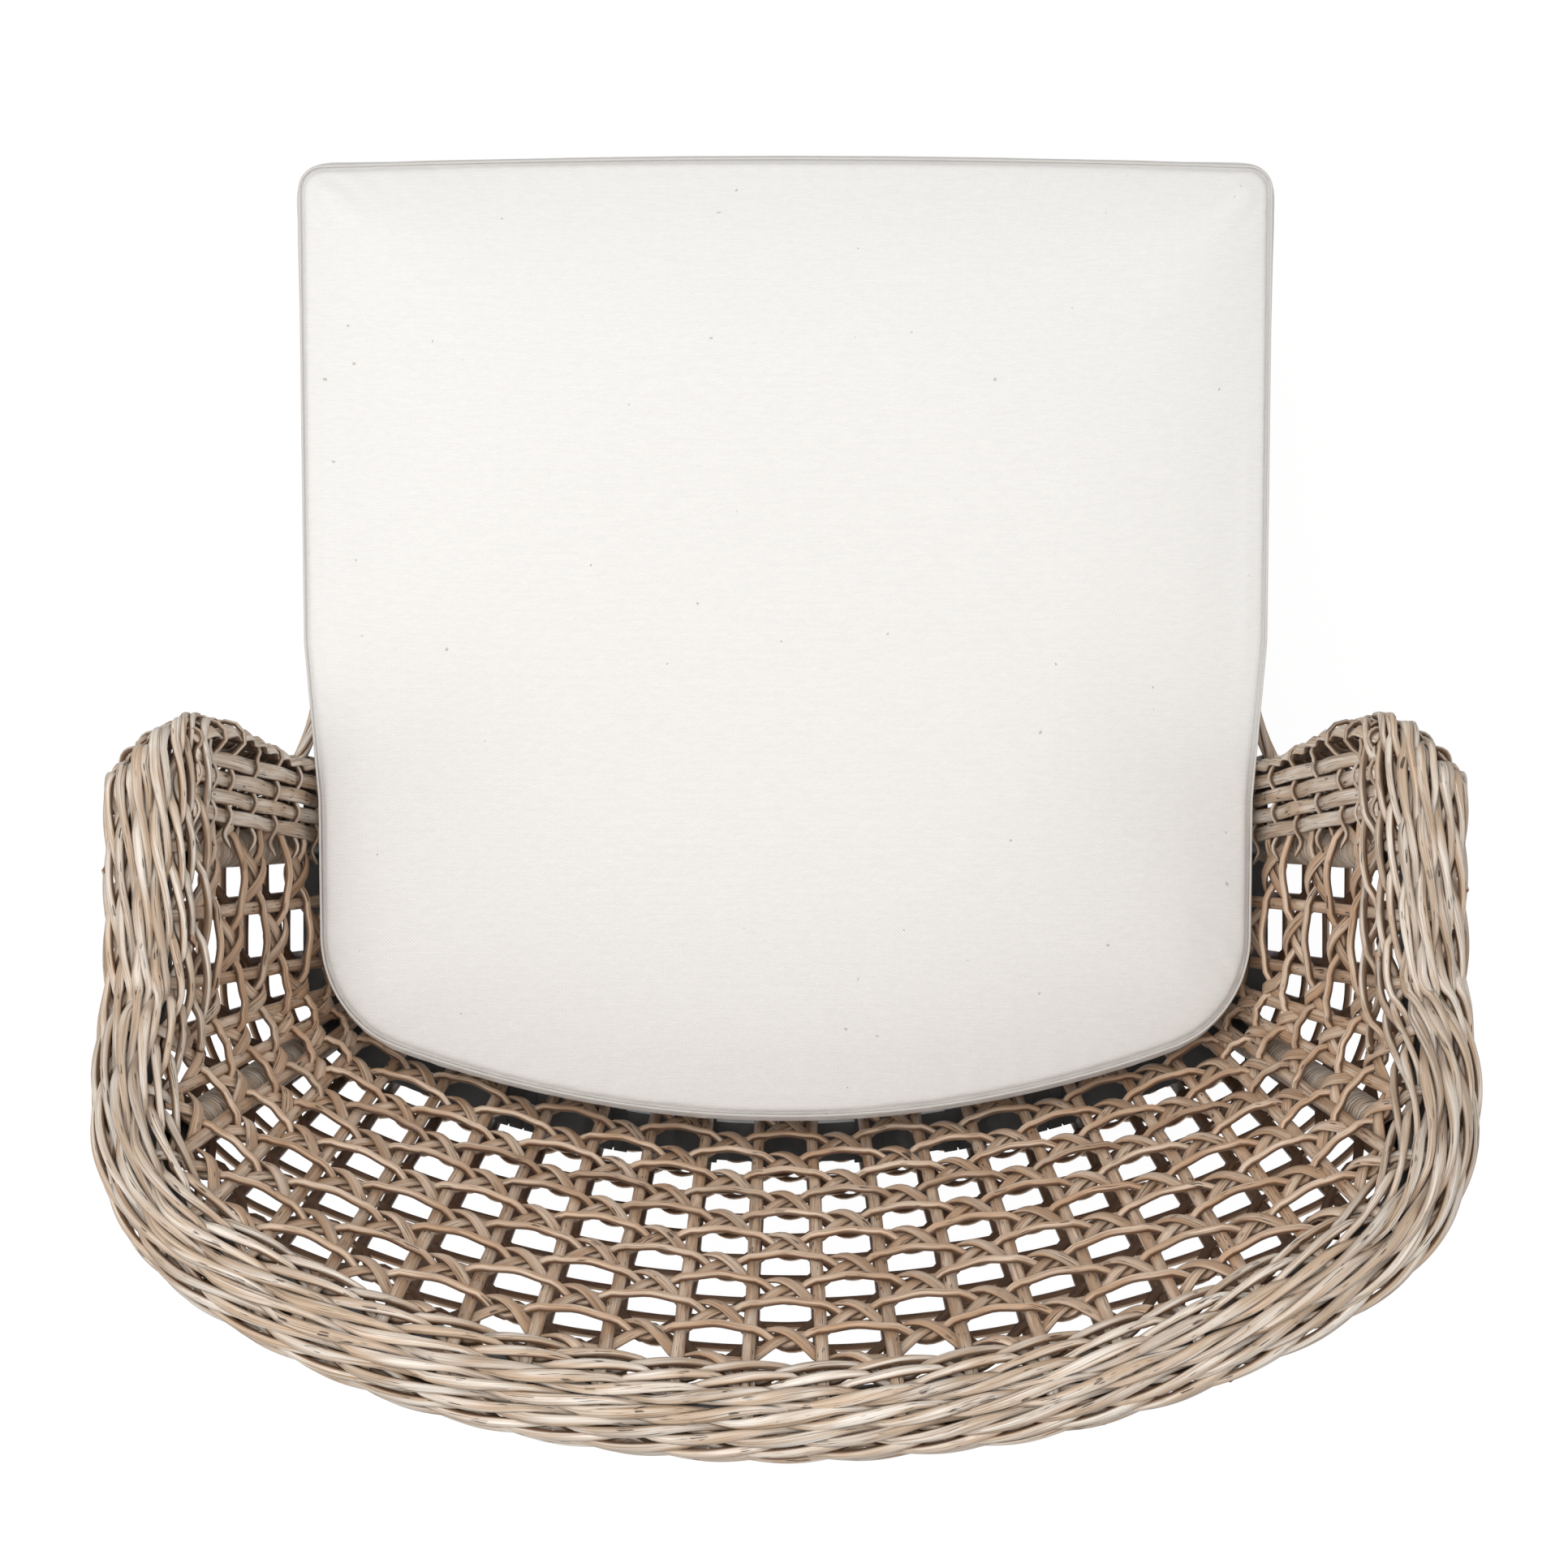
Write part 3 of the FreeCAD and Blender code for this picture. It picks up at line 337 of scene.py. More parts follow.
def caneGroup():  # UV: metres along the strand, strand number plus turn
    tree = bpy.data.node_groups.new("caneGrain", "ShaderNodeTree")
    socketIn(tree, "InShade", "NodeSocketFloat", 0.0)
    socketOut(tree, "Color", "NodeSocketColor")
    socketOut(tree, "Roughness", "NodeSocketFloat")
    socketOut(tree, "Height", "NodeSocketFloat")
    entry = tree.nodes.new("NodeGroupInput")
    leave = tree.nodes.new("NodeGroupOutput")
    uv = node(tree, "ShaderNodeUVMap", uv_map="UVMap")
    split = tree.nodes.new("ShaderNodeSeparateXYZ")
    tree.links.new(uv.outputs[0], split.inputs[0])
    along, across = split.outputs[0], split.outputs[1]
    number = maths(tree, "FLOOR", across)
    turn = maths(tree, "MULTIPLY", maths(tree, "SUBTRACT", across, number), 2 * math.pi)
    tone = tree.nodes.new("ShaderNodeTexWhiteNoise")
    tone.noise_dimensions = "1D"
    tree.links.new(number, tone.inputs["W"])

    def grain(radius, scale, detail):
        spot = tree.nodes.new("ShaderNodeCombineXYZ")
        tree.links.new(maths(tree, "MULTIPLY", maths(tree, "COSINE", turn), radius), spot.inputs[0])
        tree.links.new(maths(tree, "MULTIPLY", maths(tree, "SINE", turn), radius), spot.inputs[1])
        run = maths(tree, "MULTIPLY_ADD", along, scale, maths(tree, "MULTIPLY", number, 5.37))
        tree.links.new(run, spot.inputs[2])
        noise = node(tree, "ShaderNodeTexNoise", Scale=1.0, Detail=detail)
        tree.links.new(spot.outputs[0], noise.inputs["Vector"])
        return noise.outputs[0]

    wash = grain(0.7, 22, 2.0)
    streak = grain(3.2, 14, 3.0)
    fine = grain(8.0, 26, 2.0)
    crackRun = grain(4.5, 60, 1.0)
    crackSpot = grain(0.8, 90, 0.0)
    limed = ramp(tree, wash, [(0.40, 0.0), (0.66, 1.0)])
    base = mixColour(tree, "MIX", limed, cane["tan"], cane["pale"])
    base = mixColour(tree, "MIX", ramp(tree, streak, [(0.33, 0.8), (0.46, 0.0)]), base, cane["brown"])
    base = mixColour(tree, "MULTIPLY", 0.6, base, ramp(tree, fine, [(0.36, 0.5), (0.56, 1.0)]))
    # painted shade: each strand's back and sides, turned away from the viewer, are drawn darker
    facing = maths(tree, "MULTIPLY_ADD", maths(tree, "SINE", turn), 0.5, 0.5)
    shade = ramp(tree, facing, [(0.42, cane["edge"]), (0.68, 1.0)])  # darker towards the strand's back
    base = mixColour(tree, "MULTIPLY", 1.0, base, shade)
    ownTone = ramp(tree, tone.outputs[0], [(0.0, 0.82), (1.0, 1.06)])
    base = mixColour(tree, "MULTIPLY", 1.0, base, ownTone)
    lines = ramp(tree, crackRun, [(0.70, 0.0), (0.735, 1.0)])
    spots = ramp(tree, crackSpot, [(0.70, 0.0), (0.75, 1.0)])
    spots = maths(tree, "MULTIPLY", spots, ramp(tree, crackRun, [(0.52, 0.0), (0.58, 1.0)]))
    cracks = maths(tree, "MAXIMUM", lines, spots)
    base = mixColour(tree, "MIX", maths(tree, "MULTIPLY", cracks, 0.9), base, cane["crack"])
    # painted shade: the walls' copy of the cane takes the darker, warmer shade tint
    shadedTone = mixColour(tree, "MULTIPLY", 1.0, base, cane["wallShadeTint"])
    base = mixColour(tree, "MIX", entry.outputs["InShade"], base, shadedTone)
    tree.links.new(base, leave.inputs["Color"])
    rough = maths(tree, "MULTIPLY_ADD", fine, 0.25, 0.34)
    tree.links.new(rough, leave.inputs["Roughness"])
    height = maths(tree, "MULTIPLY_ADD", streak, 0.5, maths(tree, "MULTIPLY", fine, 0.35))
    height = maths(tree, "SUBTRACT", height, maths(tree, "MULTIPLY", cracks, 0.8))
    tree.links.new(height, leave.inputs["Height"])
    return tree


grainGroup = caneGroup()


def material(name):
    made = bpy.data.materials.new(name)
    made.use_nodes = True
    tree = made.node_tree
    shader = tree.nodes["Principled BSDF"]
    return made, tree, shader


def bumpInto(tree, shader, height, strength, distance):
    bump = tree.nodes.new("ShaderNodeBump")
    bump.inputs["Strength"].default_value = strength
    bump.inputs["Distance"].default_value = distance
    tree.links.new(height, bump.inputs["Height"])
    tree.links.new(bump.outputs[0], shader.inputs["Normal"])


def caneMaterial(name, inShade):
    made, tree, shader = material(name)
    group = tree.nodes.new("ShaderNodeGroup")
    group.node_tree = grainGroup
    group.inputs["InShade"].default_value = inShade
    tree.links.new(group.outputs["Color"], shader.inputs["Base Color"])
    tree.links.new(group.outputs["Roughness"], shader.inputs["Roughness"])
    bumpInto(tree, shader, group.outputs["Height"], 0.6, 0.0006)
    return made


def objectNoise(tree, scale, detail, stretch=(1, 1, 1)):
    place = tree.nodes.new("ShaderNodeTexCoord")
    mapping = tree.nodes.new("ShaderNodeMapping")
    mapping.inputs["Scale"].default_value = stretch
    tree.links.new(place.outputs["Object"], mapping.inputs[0])
    noise = node(tree, "ShaderNodeTexNoise", Scale=scale, Detail=detail)
    tree.links.new(mapping.outputs[0], noise.inputs["Vector"])
    return noise.outputs[0]


def paintMaterial(name, colour, worn, roughness):  # satin powder coat with orange peel
    made, tree, shader = material(name)
    patches = objectNoise(tree, 60, 4)
    base = mixColour(tree, "MIX", ramp(tree, patches, [(0.55, 0.0), (0.75, 1.0)]), colour, worn)
    tree.links.new(base, shader.inputs["Base Color"])
    tree.links.new(maths(tree, "MULTIPLY_ADD", patches, 0.3, roughness - 0.15), shader.inputs["Roughness"])
    bumpInto(tree, shader, objectNoise(tree, 900, 2), 0.25, 0.0002)
    return made


def weaveHeight(tree, first, second, perMetre):  # plain weave, thread directions take turns on top
    a = maths(tree, "SINE", maths(tree, "MULTIPLY", first, perMetre * math.pi))
    b = maths(tree, "SINE", maths(tree, "MULTIPLY", second, perMetre * math.pi))
    threads = maths(tree, "ADD", maths(tree, "MULTIPLY", a, a), maths(tree, "MULTIPLY", b, b))
    cross = maths(tree, "MULTIPLY", a, b)
    return maths(tree, "MULTIPLY_ADD", cross, 0.6, maths(tree, "MULTIPLY", threads, 0.35))


def clothMaterial(name, colour, perMetre):  # canvas laid over top and sides, with slubs and specks
    made, tree, shader = material(name)
    place = tree.nodes.new("ShaderNodeTexCoord")
    split = tree.nodes.new("ShaderNodeSeparateXYZ")
    tree.links.new(place.outputs["Object"], split.inputs[0])
    x, y, z = split.outputs
    facing = tree.nodes.new("ShaderNodeNewGeometry")
    normal = tree.nodes.new("ShaderNodeSeparateXYZ")
    tree.links.new(facing.outputs["Normal"], normal.inputs[0])
    total = None
    for pair, axis in (((x, y), 2), ((x, z), 1), ((y, z), 0)):
        weight = maths(tree, "POWER", maths(tree, "ABSOLUTE", normal.outputs[axis]), 4)
        share = maths(tree, "MULTIPLY", weaveHeight(tree, pair[0], pair[1], perMetre), weight)
        total = share if total is None else maths(tree, "ADD", total, share)
    slub = objectNoise(tree, 120, 3, (1, 6, 1))
    tint = mixColour(tree, "MULTIPLY", 1.0, colour, ramp(tree, slub, [(0.3, 0.955), (0.7, 1.0)]))
    # painted shade: the weave's low points between threads are drawn darker
    tint = mixColour(tree, "MULTIPLY", 1.0, tint, ramp(tree, total, [(0.0, 0.90), (0.75, 1.0)]))
    speck = objectNoise(tree, 210, 0)
    tint = mixColour(tree, "MIX", ramp(tree, speck, [(0.875, 0.0), (0.89, 0.5)]), tint, (0.30, 0.25, 0.20))
    tree.links.new(tint, shader.inputs["Base Color"])
    shader.inputs["Roughness"].default_value = 0.9
    shader.inputs["Sheen Weight"].default_value = 0.2
    shader.inputs["Sheen Roughness"].default_value = 0.5
    bumpInto(tree, shader, maths(tree, "ADD", total, maths(tree, "MULTIPLY", slub, 0.3)), 0.5, 0.0004)
    return made


caneFinish = caneMaterial("cane", 0.0)
# the walls' cane: a copy of the cane with painted shade, darker and warmer
shadedCane = caneMaterial("shadedCane", 1.0)
paint = paintMaterial("framePaint", (0.042, 0.04, 0.039), (0.085, 0.08, 0.075), 0.42)
strapFinish = paintMaterial("strapping", (0.05, 0.048, 0.046), (0.08, 0.076, 0.072), 0.62)
glideFinish = paintMaterial("nylon", (0.035, 0.035, 0.036), (0.06, 0.06, 0.06), 0.55)
canvas = clothMaterial("canvas", (0.93, 0.91, 0.885), 900)
seamThread = clothMaterial("seamThread", (0.74, 0.71, 0.67), 2200)
zipTape = clothMaterial("zipTape", (0.78, 0.76, 0.73), 1400)
zipEnamel = paintMaterial("zipEnamel", (0.80, 0.79, 0.76), (0.62, 0.60, 0.57), 0.4)
print("materials made")

# The walls' weave

weave = {
    "stakeWidth": 0.0076,
    "stakeThick": 0.0056,
    "rowWidth": 0.0052,
    "rowThick": 0.0046,
    "stripWidth": 0.0082,
    "stripThick": 0.0024,
    "step": 0.0045,
    "uprightStep": 0.009,
    "dip": 0.0088,  # how far a row goes back at a crossing
    "bow": 0.0012,  # and comes out between two stakes elsewhere
    "sag": 0.0028,
    "endTuck": 0.006,
    "underStrip": 0.0014,
    "overStrip": 0.0050,
}


def facePoints(stations, heights, depths, face):  # depth runs from the stakes to the side that is seen
    base = plan["outerInset"] if face > 0 else plan["innerInset"]
    where, outward = wallPoints(stations, base - face * np.asarray(depths), heights)
    up = outward * face
    up[:, 2] = -plan["lean"] * face
    return where, unit(up)


def stakeSpots(low, high):
    count = int(math.ceil(frontMiddle / pitch))
    spots = [(index + 0.5) * pitch for index in range(count)]
    return [s for s in sorted([-x for x in spots] + spots) if low < s < high]


def stakeTops(stations):
    return railHeight(np.atleast_1d(stations)) - 0.001


def wobble(count, size, smooth):  # hand-made unevenness along a strand
    knots = dice.normal(0, size, max(int(count / smooth) + 3, 4))
    return np.interp(np.linspace(0, len(knots) - 1, count), np.arange(len(knots)), knots)


def upright(station, low, high, face):
    z = np.linspace(low, high, max(int((high - low) / weave["uprightStep"]), 6))
    s = station + wobble(len(z), 0.0005, 8)
    where, up = facePoints(s, z, wobble(len(z), 0.0003, 8), face)
    knots = 1 + 0.05 * wobble(len(z), 1.0, 6)
    return strand(where, up, weave["stakeWidth"] * knots, weave["stakeThick"])


def rowLine(index, z, low, high, face):  # over the stakes, behind the crossing in every other gap
    count = int((high - low) / weave["step"])
    s = np.linspace(low, high, count)
    gap = np.rint(s / pitch)
    fromGap = (s - gap * pitch) / pitch
    crossing = (gap + index + (face > 0)) % 2 == 0
    front = (weave["stakeThick"] + weave["rowThick"]) / 2 + 0.0004
    notch = 0.5 + 0.5 * np.cos(2 * math.pi * fromGap)
    depth = np.where(crossing, front - weave["dip"] * notch, front + weave["bow"] * notch)
    if high < frontMiddle - 0.01:  # both ends tuck in behind the stakes
        depth -= weave["endTuck"] * (1 - np.clip(np.minimum(s - low, high - s) / 0.025, 0, 1))
    lift = np.where(crossing, 0.0, -weave["sag"] * notch) + wobble(count, 0.0005, 12)
    where, up = facePoints(s, z + lift, depth + wobble(count, 0.0003, 10), face)
    return strand(where, up, weave["rowWidth"], weave["rowThick"])


# behind the stakes between rows, in front in the gaps
def slantLine(start, direction, level, lowAt, highAt, limit, face):
    slope = rowPitch / pitch * direction
    span = 0.55 / rowPitch * pitch
    s = np.arange(start - span * 1.3, start + span * 1.3, weave["step"] * 0.8)
    z = firstRow + slope * (s - start)
    keep = (z > lowAt(s)) & (z < highAt(s)) & (np.abs(s) < limit)
    pieces = []
    edges = np.flatnonzero(np.diff(np.concatenate([[0], keep.astype(int), [0]])))
    for first, last in zip(edges[::2], edges[1::2]):
        if last - first < 8:
            continue
        part = slice(first, last)
        fromCrossing = np.abs(s[part] / pitch - np.rint(s[part] / pitch))
        near = np.sin(math.pi / 2 * (1 - 2 * fromCrossing)) ** 1.15
        behind = -(weave["stakeThick"] + weave["stripThick"]) / 2 - 0.0003
        depth = behind + (level - behind) * near
        where, up = facePoints(s[part], z[part] + wobble(last - first, 0.0004, 20), depth, face)
        pieces.append(strand(where, up, weave["stripWidth"], weave["stripThick"], squareness=0.6))
    return pieces


def slants(lowAt, highAt, limit, face, starts):  # one family lies over the other
    made = []
    for start in starts:
        made += slantLine(start * pitch, 1, weave["underStrip"], lowAt, highAt, limit, face)
        made += slantLine(start * pitch, -1, weave["overStrip"], lowAt, highAt, limit, face)
    return made


def rowReach(z):
    s = np.linspace(0, noseStation, 400)
    fits = stakeTops(s) > z + 0.006
    return float(s[fits].max()) if fits.any() else 0.0


rowHeights = [firstRow + k * rowPitch for k in range(17)]
apron = {
    "top": 0.327,
    "rowsBelow": 0.335,
    "foot": 0.100,
    "shortFoot": 0.245,  # every other upright at the base's round corners
    "stripTop": 0.326,
    "stripFoot": 0.106,
    "cornerStripFoot": 0.20,
}


def makeInnerWall():
    reach = noseStation - 0.022
    stakes = [upright(s, deckTop + 0.001, stakeTops(s)[0], -1) for s in stakeSpots(-reach, reach)]
    strandPiece("inner_wall_stakes", stakes, shadedCane,
                replaces=("inner_stakes_left", "inner_stakes_back", "inner_stakes_right"))
    rows = []
    for index, z in enumerate(rowHeights):
        if z < deckTop + 0.012 or z > 0.745:
            continue
        reach = rowReach(z)
        if reach > noseStation - 0.02:
            reach = noseStation - 0.004
        rows.append(rowLine(index, z, -reach, reach, -1))
    highest = lambda s: stakeTops(s) + 0.004
    lowest = lambda s: np.full(len(s), deckTop + 0.003)
    starts = range(-44, 46, 2)
    crossed = slants(lowest, highest, noseStation - 0.008, -1, starts)
    strandPiece("inner_wall_rows", rows, shadedCane, replaces=("inner_rows",))
    strandPiece("inner_wall_slants", crossed, shadedCane)


def makeOuterWall():
    stakes = []
    for s in stakeSpots(-noseStation + 0.02, noseStation - 0.02):
        stakes.append(upright(s, outerFoot(s), stakeTops(s)[0], 1))
    strandPiece("outer_wall_stakes", stakes, shadedCane,
                replaces=("outer_stakes_left", "outer_stakes_back", "outer_stakes_right"))
    uprights = []
    for s in stakeSpots(-frontMiddle - 0.01, frontMiddle + 0.01):
        if abs(s) > noseStation - 0.02:
            uprights.append(upright(s, outerFoot(s), apron["top"], 1))
    strandPiece("apron_uprights", uprights, shadedCane, replaces=("apron_stakes",))
    rows = []
    base = []
    for index, z in enumerate(rowHeights):
        if z < apron["rowsBelow"]:
            base.append(rowLine(index, z, -frontMiddle, frontMiddle, 1))
            continue
        reach = min(rowReach(z), noseStation - 0.004)
        rows.append(rowLine(index, z, -reach, reach, 1))
    strandPiece("outer_wall_rows", rows, shadedCane, replaces=("outer_rows",))
    strandPiece("base_wall_rows", base, shadedCane, replaces=("base_rows",))
    highest = lambda s: np.where(np.abs(s) < noseStation - 0.01, stakeTops(s) + 0.004, apron["stripTop"])
    lowest = lambda s: np.where(shortFoot(s), apron["cornerStripFoot"], apron["stripFoot"])
    crossed = slants(lowest, highest, frontMiddle - 0.004, 1, range(-61, 63, 2))
    strandPiece("outer_wall_slants", crossed, shadedCane)


def shortFoot(stations):
    distance = np.abs(stations)
    rear = (distance > planMarks[1]) & (distance < planMarks[2])
    front = (distance > planMarks[6]) & (distance < planMarks[7])
    return rear | front


def outerFoot(station):
    if shortFoot(station) and int(abs(station) / pitch) % 2:
        return apron["shortFoot"]
    return apron["foot"]


makeInnerWall()
makeOuterWall()

# The rim

rim = {
    "ropes": 7,
    "archDegrees": 84,
    "rodWidth": {2: 0.0060, 3: 0.0072},
    "rodThick": 0.0048,
    "drift": {2: 0.0030, 3: 0.0037},
    "over": {2: 1.15, 3: 1.35},
    "armRow": {"degrees": -104, "radius": 0.0308, "rods": 2, "start": planMarks[2] - 0.03},
    "step": 0.0036,
    "rise": 0.0030,
    "dive": 0.0072,
    "tilt": 0.35,
    "turnRadius": 0.011,
    "drop": 0.010,
    "noseRadius": 0.047,
    "reach": 0.0288,
    "reachChange": 0.0172,
    "bowRadius": 0.0194,
    "bowWidth": 0.0074,
    "bowThick": 0.0042,
}
middleInset = (plan["outerInset"] + plan["innerInset"]) / 2


def rimPath(stations):  # past the arm fronts it runs straight on
    s = np.asarray(stations, float)
    inner = np.clip(s, -noseStation + 0.001, noseStation - 0.001)
    z = railHeight(inner)
    where, outward = wallPoints(inner, middleInset, z)
    beyond = np.maximum(np.abs(s) - noseStation, 0)
    where = where - np.outer(beyond, [0, 1, 0])
    forward = unit(np.gradient(where, axis=0))
    side = unit(outward - forward * np.sum(outward * forward, 1)[:, None])
    up = np.cross(side, forward)
    up *= np.sign(up[:, 2])[:, None]
    return where, side, up


def noseReach(sideways):  # inner rows run further forward than outer ones, round the domed front
    share = min(max(sideways / plan["archRadius"], -1.0), 1.0)
    return rim["reach"] - rim["reachChange"] * math.sin(math.pi / 2 * share)


# drifts across its row over the stakes, then dives behind one
def ropeStrand(angle, rods, rod, radius, start=None, sign=1):
    ends = noseStation + noseReach(radius * math.sin(angle))
    s = sign * np.arange(-ends if start is None else start, ends, rim["step"])
    where, side, up = rimPath(s)
    over = rim["over"][rods] / rods
    share = (s / pitch + rod + 0.5 - rods * (0.5 - over / 2)) / rods % 1.0
    onTop = share < over
    climb = np.where(onTop, share / over, 1 - (share - over) / (1 - over))
    climb = 0.5 * climb + 0.5 * climb * climb * (3 - 2 * climb)
    lateral = rim["drift"][rods] * (2 * climb - 1) + wobble(len(s), 0.0006, 18)
    rise = rim["rise"] * np.sin(math.pi * share / over)
    rise = np.where(onTop, rise, -rim["dive"] * np.sin(math.pi * (share - over) / (1 - over)))
    radial = radius - 0.0006 + rise + wobble(len(s), 0.0004, 18)
    square = side * math.cos(angle) - up * math.sin(angle)
    out = side * math.sin(angle) + up * math.cos(angle)
    path = where + out * radial[:, None] + square * lateral[:, None]
    faces = unit(out + square * (rim["tilt"] * (2 * climb - 1))[:, None])
    path, faces = turnDown(path, faces, (0, -1) if start is None else (-1,))
    swell = np.where(onTop, np.sin(math.pi * share / over), 0)
    swell = np.interp(np.linspace(0, 1, len(path)), np.linspace(0, 1, len(s)), swell)
    width = rim["rodWidth"][rods] * (0.66 + 0.36 * swell) * (1 + 0.05 * wobble(len(path), 1.0, 30))
    return strand(path, faces, width, rim["rodThick"], squareness=0.9)


def turnDown(path, out, tips):  # a quarter turn over the front and a short drop
    ahead, upward = np.array([0, -1, 0]), np.array([0, 0, 1])
    angles = np.linspace(0, math.pi / 2, 7)[1:]
    for end in tips:
        arc = path[end] + np.outer(np.sin(angles) * rim["turnRadius"], ahead)
        arc = arc - np.outer((1 - np.cos(angles)) * rim["turnRadius"], upward)
        looks = np.outer(np.cos(angles), out[end]) + np.outer(np.sin(angles), ahead)
        fall = arc[-1] - np.outer(np.linspace(0.3, 1, 3) * rim["drop"], upward)
        falling = np.repeat([[0, -1.0, 0.05]], 3, axis=0)
        added = np.vstack([arc, fall])
        faces = np.vstack([looks, falling])
        if end == 0:
            path = np.vstack([added[::-1], path])
            out = np.vstack([faces[::-1], out])
        else:
            path = np.vstack([path, added])
            out = np.vstack([out, faces])
    return path, out


def makeRim():
    ropes = []
    limit = math.radians(rim["archDegrees"])
    for index in range(rim["ropes"]):
        angle = -limit + 2 * limit * index / (rim["ropes"] - 1)
        rods = 2 if index < 2 else 3
        for rod in range(rods):
            ropes.append(ropeStrand(angle, rods, rod + index % 2, plan["archRadius"]))
    row = rim["armRow"]
    angle = math.radians(row["degrees"])
    for sign in (-1, 1):
        for rod in range(row["rods"]):
            ropes.append(ropeStrand(angle, row["rods"], rod + 1, row["radius"], row["start"], sign))
    strandPiece("rim_ropes", ropes, caneFinish, replaces=("rim_wale", "rim_nose_left", "rim_nose_right"))
    bows = []
    for s in stakeSpots(-noseStation, noseStation):
        near = np.array([s - 0.001, s, s + 0.001])
        where, side, up = rimPath(near)
        turn = np.linspace(-1.75, 1.75, 18)
        out = np.outer(np.sin(turn), side[1]) + np.outer(np.cos(turn), up[1])
        bows.append(strand(where[1] + out * rim["bowRadius"], out, rim["bowWidth"], rim["bowThick"]))
    strandPiece("stake_bows", bows, caneFinish, replaces=("rim_stake_bows",))


makeRim()

# The closed weave round the front of each arm

armFront = {
    "bulge": 0.011,
    "bulgeHeight": 0.565,
    "bulgeSpread": 0.070,
    "domeSpread": 0.044,
    "domeStart": 0.596,
    "domeTuck": 0.005,
    "capRows": 3,
    "corner": 0.007,
    "stripPitch": 0.0108,
    "stripWidth": 0.0094,
    "stripThick": 0.0030,
    "rowPitch": 0.0123,
    "rodWidth": 0.0066,
    "rodThick": 0.0030,
    "weaveDepth": 0.0016,
    "low": 0.338,
    "high": 0.618,
    "straight": 0.046,
}


# round from the outer wall, a tight corner, then back along the inner wall
def armFrontPoints(sign, along, heights, depths):
    t = np.broadcast_to(np.asarray(along, float), np.shape(heights))
    z = np.asarray(heights, float)
    radius = rim["noseRadius"]
    corner = armFront["corner"]
    frontEnd = radius * math.pi / 2
    cornerEnd = frontEnd + corner * math.pi / 2
    lean = plan["lean"] * (plan["height"] - z)
    centreX = plan["halfWidth"] - lean - plan["innerInset"]
    centreY = plan["armFront"] + plan["noseBackLean"] * (plan["height"] - z)
    angle = -np.clip(t, 0, frontEnd) / radius - np.clip(t - frontEnd, 0, cornerEnd - frontEnd) / corner
    outX, outY = np.cos(angle), np.sin(angle)
    x = centreX + outX * radius
    y = centreY + outY * radius
    turned = t > frontEnd
    x = np.where(turned, centreX + outX * corner, x)
    y = np.where(turned, centreY - radius + corner + outY * corner, y)
    back = np.clip(t - cornerEnd, 0, None)
    x = x + 0.4 * corner * np.clip(back / 0.04, 0, 1)
    y = y + back
    spread = np.where(z > armFront["bulgeHeight"], armFront["domeSpread"], armFront["bulgeSpread"])
    full = armFront["bulge"] * np.exp(-((z - armFront["bulgeHeight"]) / spread) ** 2)
    full = full - armFront["domeTuck"] * np.clip((z - armFront["domeStart"]) / 0.022, 0, 1) ** 2
    full = full * np.clip(t / (0.7 * frontEnd), 0, 1) * np.clip(1 - back / 0.012, 0, 1)
    full = np.where(turned, full * np.clip(-outY, 0.0, 1) ** 0.5, full)
    flush = -0.0045 * np.clip(1 - t / 0.022, 0, 1)  # meets the outer wall's stakes
    x = x + outX * (depths + full + flush)
    y = y + outY * (depths + full + flush)
    points = np.stack([x * sign, y, z], 1)
    faces = np.stack([outX * sign, outY, np.full(len(z), -0.12)], 1)
    return points, unit(faces)


def makeArmFront(sign, name):
    frontEnd = rim["noseRadius"] * math.pi / 2
    cornerEnd = frontEnd + armFront["corner"] * math.pi / 2
    last = cornerEnd + armFront["straight"]
    low = armFront["low"] + 0.003
    woven = []
    heights = np.arange(armFront["low"], armFront["high"], 0.0035)
    for index in range(int(last / armFront["stripPitch"])):
        along = 0.004 + index * armFront["stripPitch"]
        rows = (heights - low) / armFront["rowPitch"]
        if along > cornerEnd:
            rows = rows / 3
        depth = armFront["weaveDepth"] * np.cos(math.pi * (rows + index))
        where, faces = armFrontPoints(sign, along, heights, depth + wobble(len(heights), 0.0003, 8))
        width = armFront["stripWidth"] * (1 + 0.05 * wobble(len(heights), 1.0, 8))
        woven.append(strand(where, faces, width, armFront["stripThick"]))
    count = int((armFront["high"] - armFront["low"]) / armFront["rowPitch"]) + 1
    for index in range(count):
        carried = index % 3 == 0 or index >= count - armFront["capRows"]
        end = last + 0.012 if carried else frontEnd + 0.001
        t = np.arange(0.003, end, 0.0024)
        strips = (t - 0.004) / armFront["stripPitch"]
        depth = -1.3 * armFront["weaveDepth"] * np.cos(math.pi * (strips - index)) + 0.0004
        level = low + index * armFront["rowPitch"] + wobble(len(t), 0.0005, 10)
        where, faces = armFrontPoints(sign, t, level, depth)
        width = np.interp(t, [frontEnd, cornerEnd + 0.006], [armFront["rodWidth"], 0.0047])
        woven.append(strand(where, faces, width, armFront["rodThick"], taper=0.03))
    strandPiece(f"arm_weave_{name}", woven, caneFinish, replaces=(f"arm_front_{name}",))


makeArmFront(-1, "left")
makeArmFront(1, "right")

# Bound posts and legs, borders and the hoop inside the base


binding = {
    "width": 0.0044,
    "turnPitch": 0.0046,
    "post": {"tube": 0.019, "thick": 0.0022, "endGap": 0.003},
    "leg": {"tube": 0.022, "thick": 0.0023, "endGap": 0.0025},
}


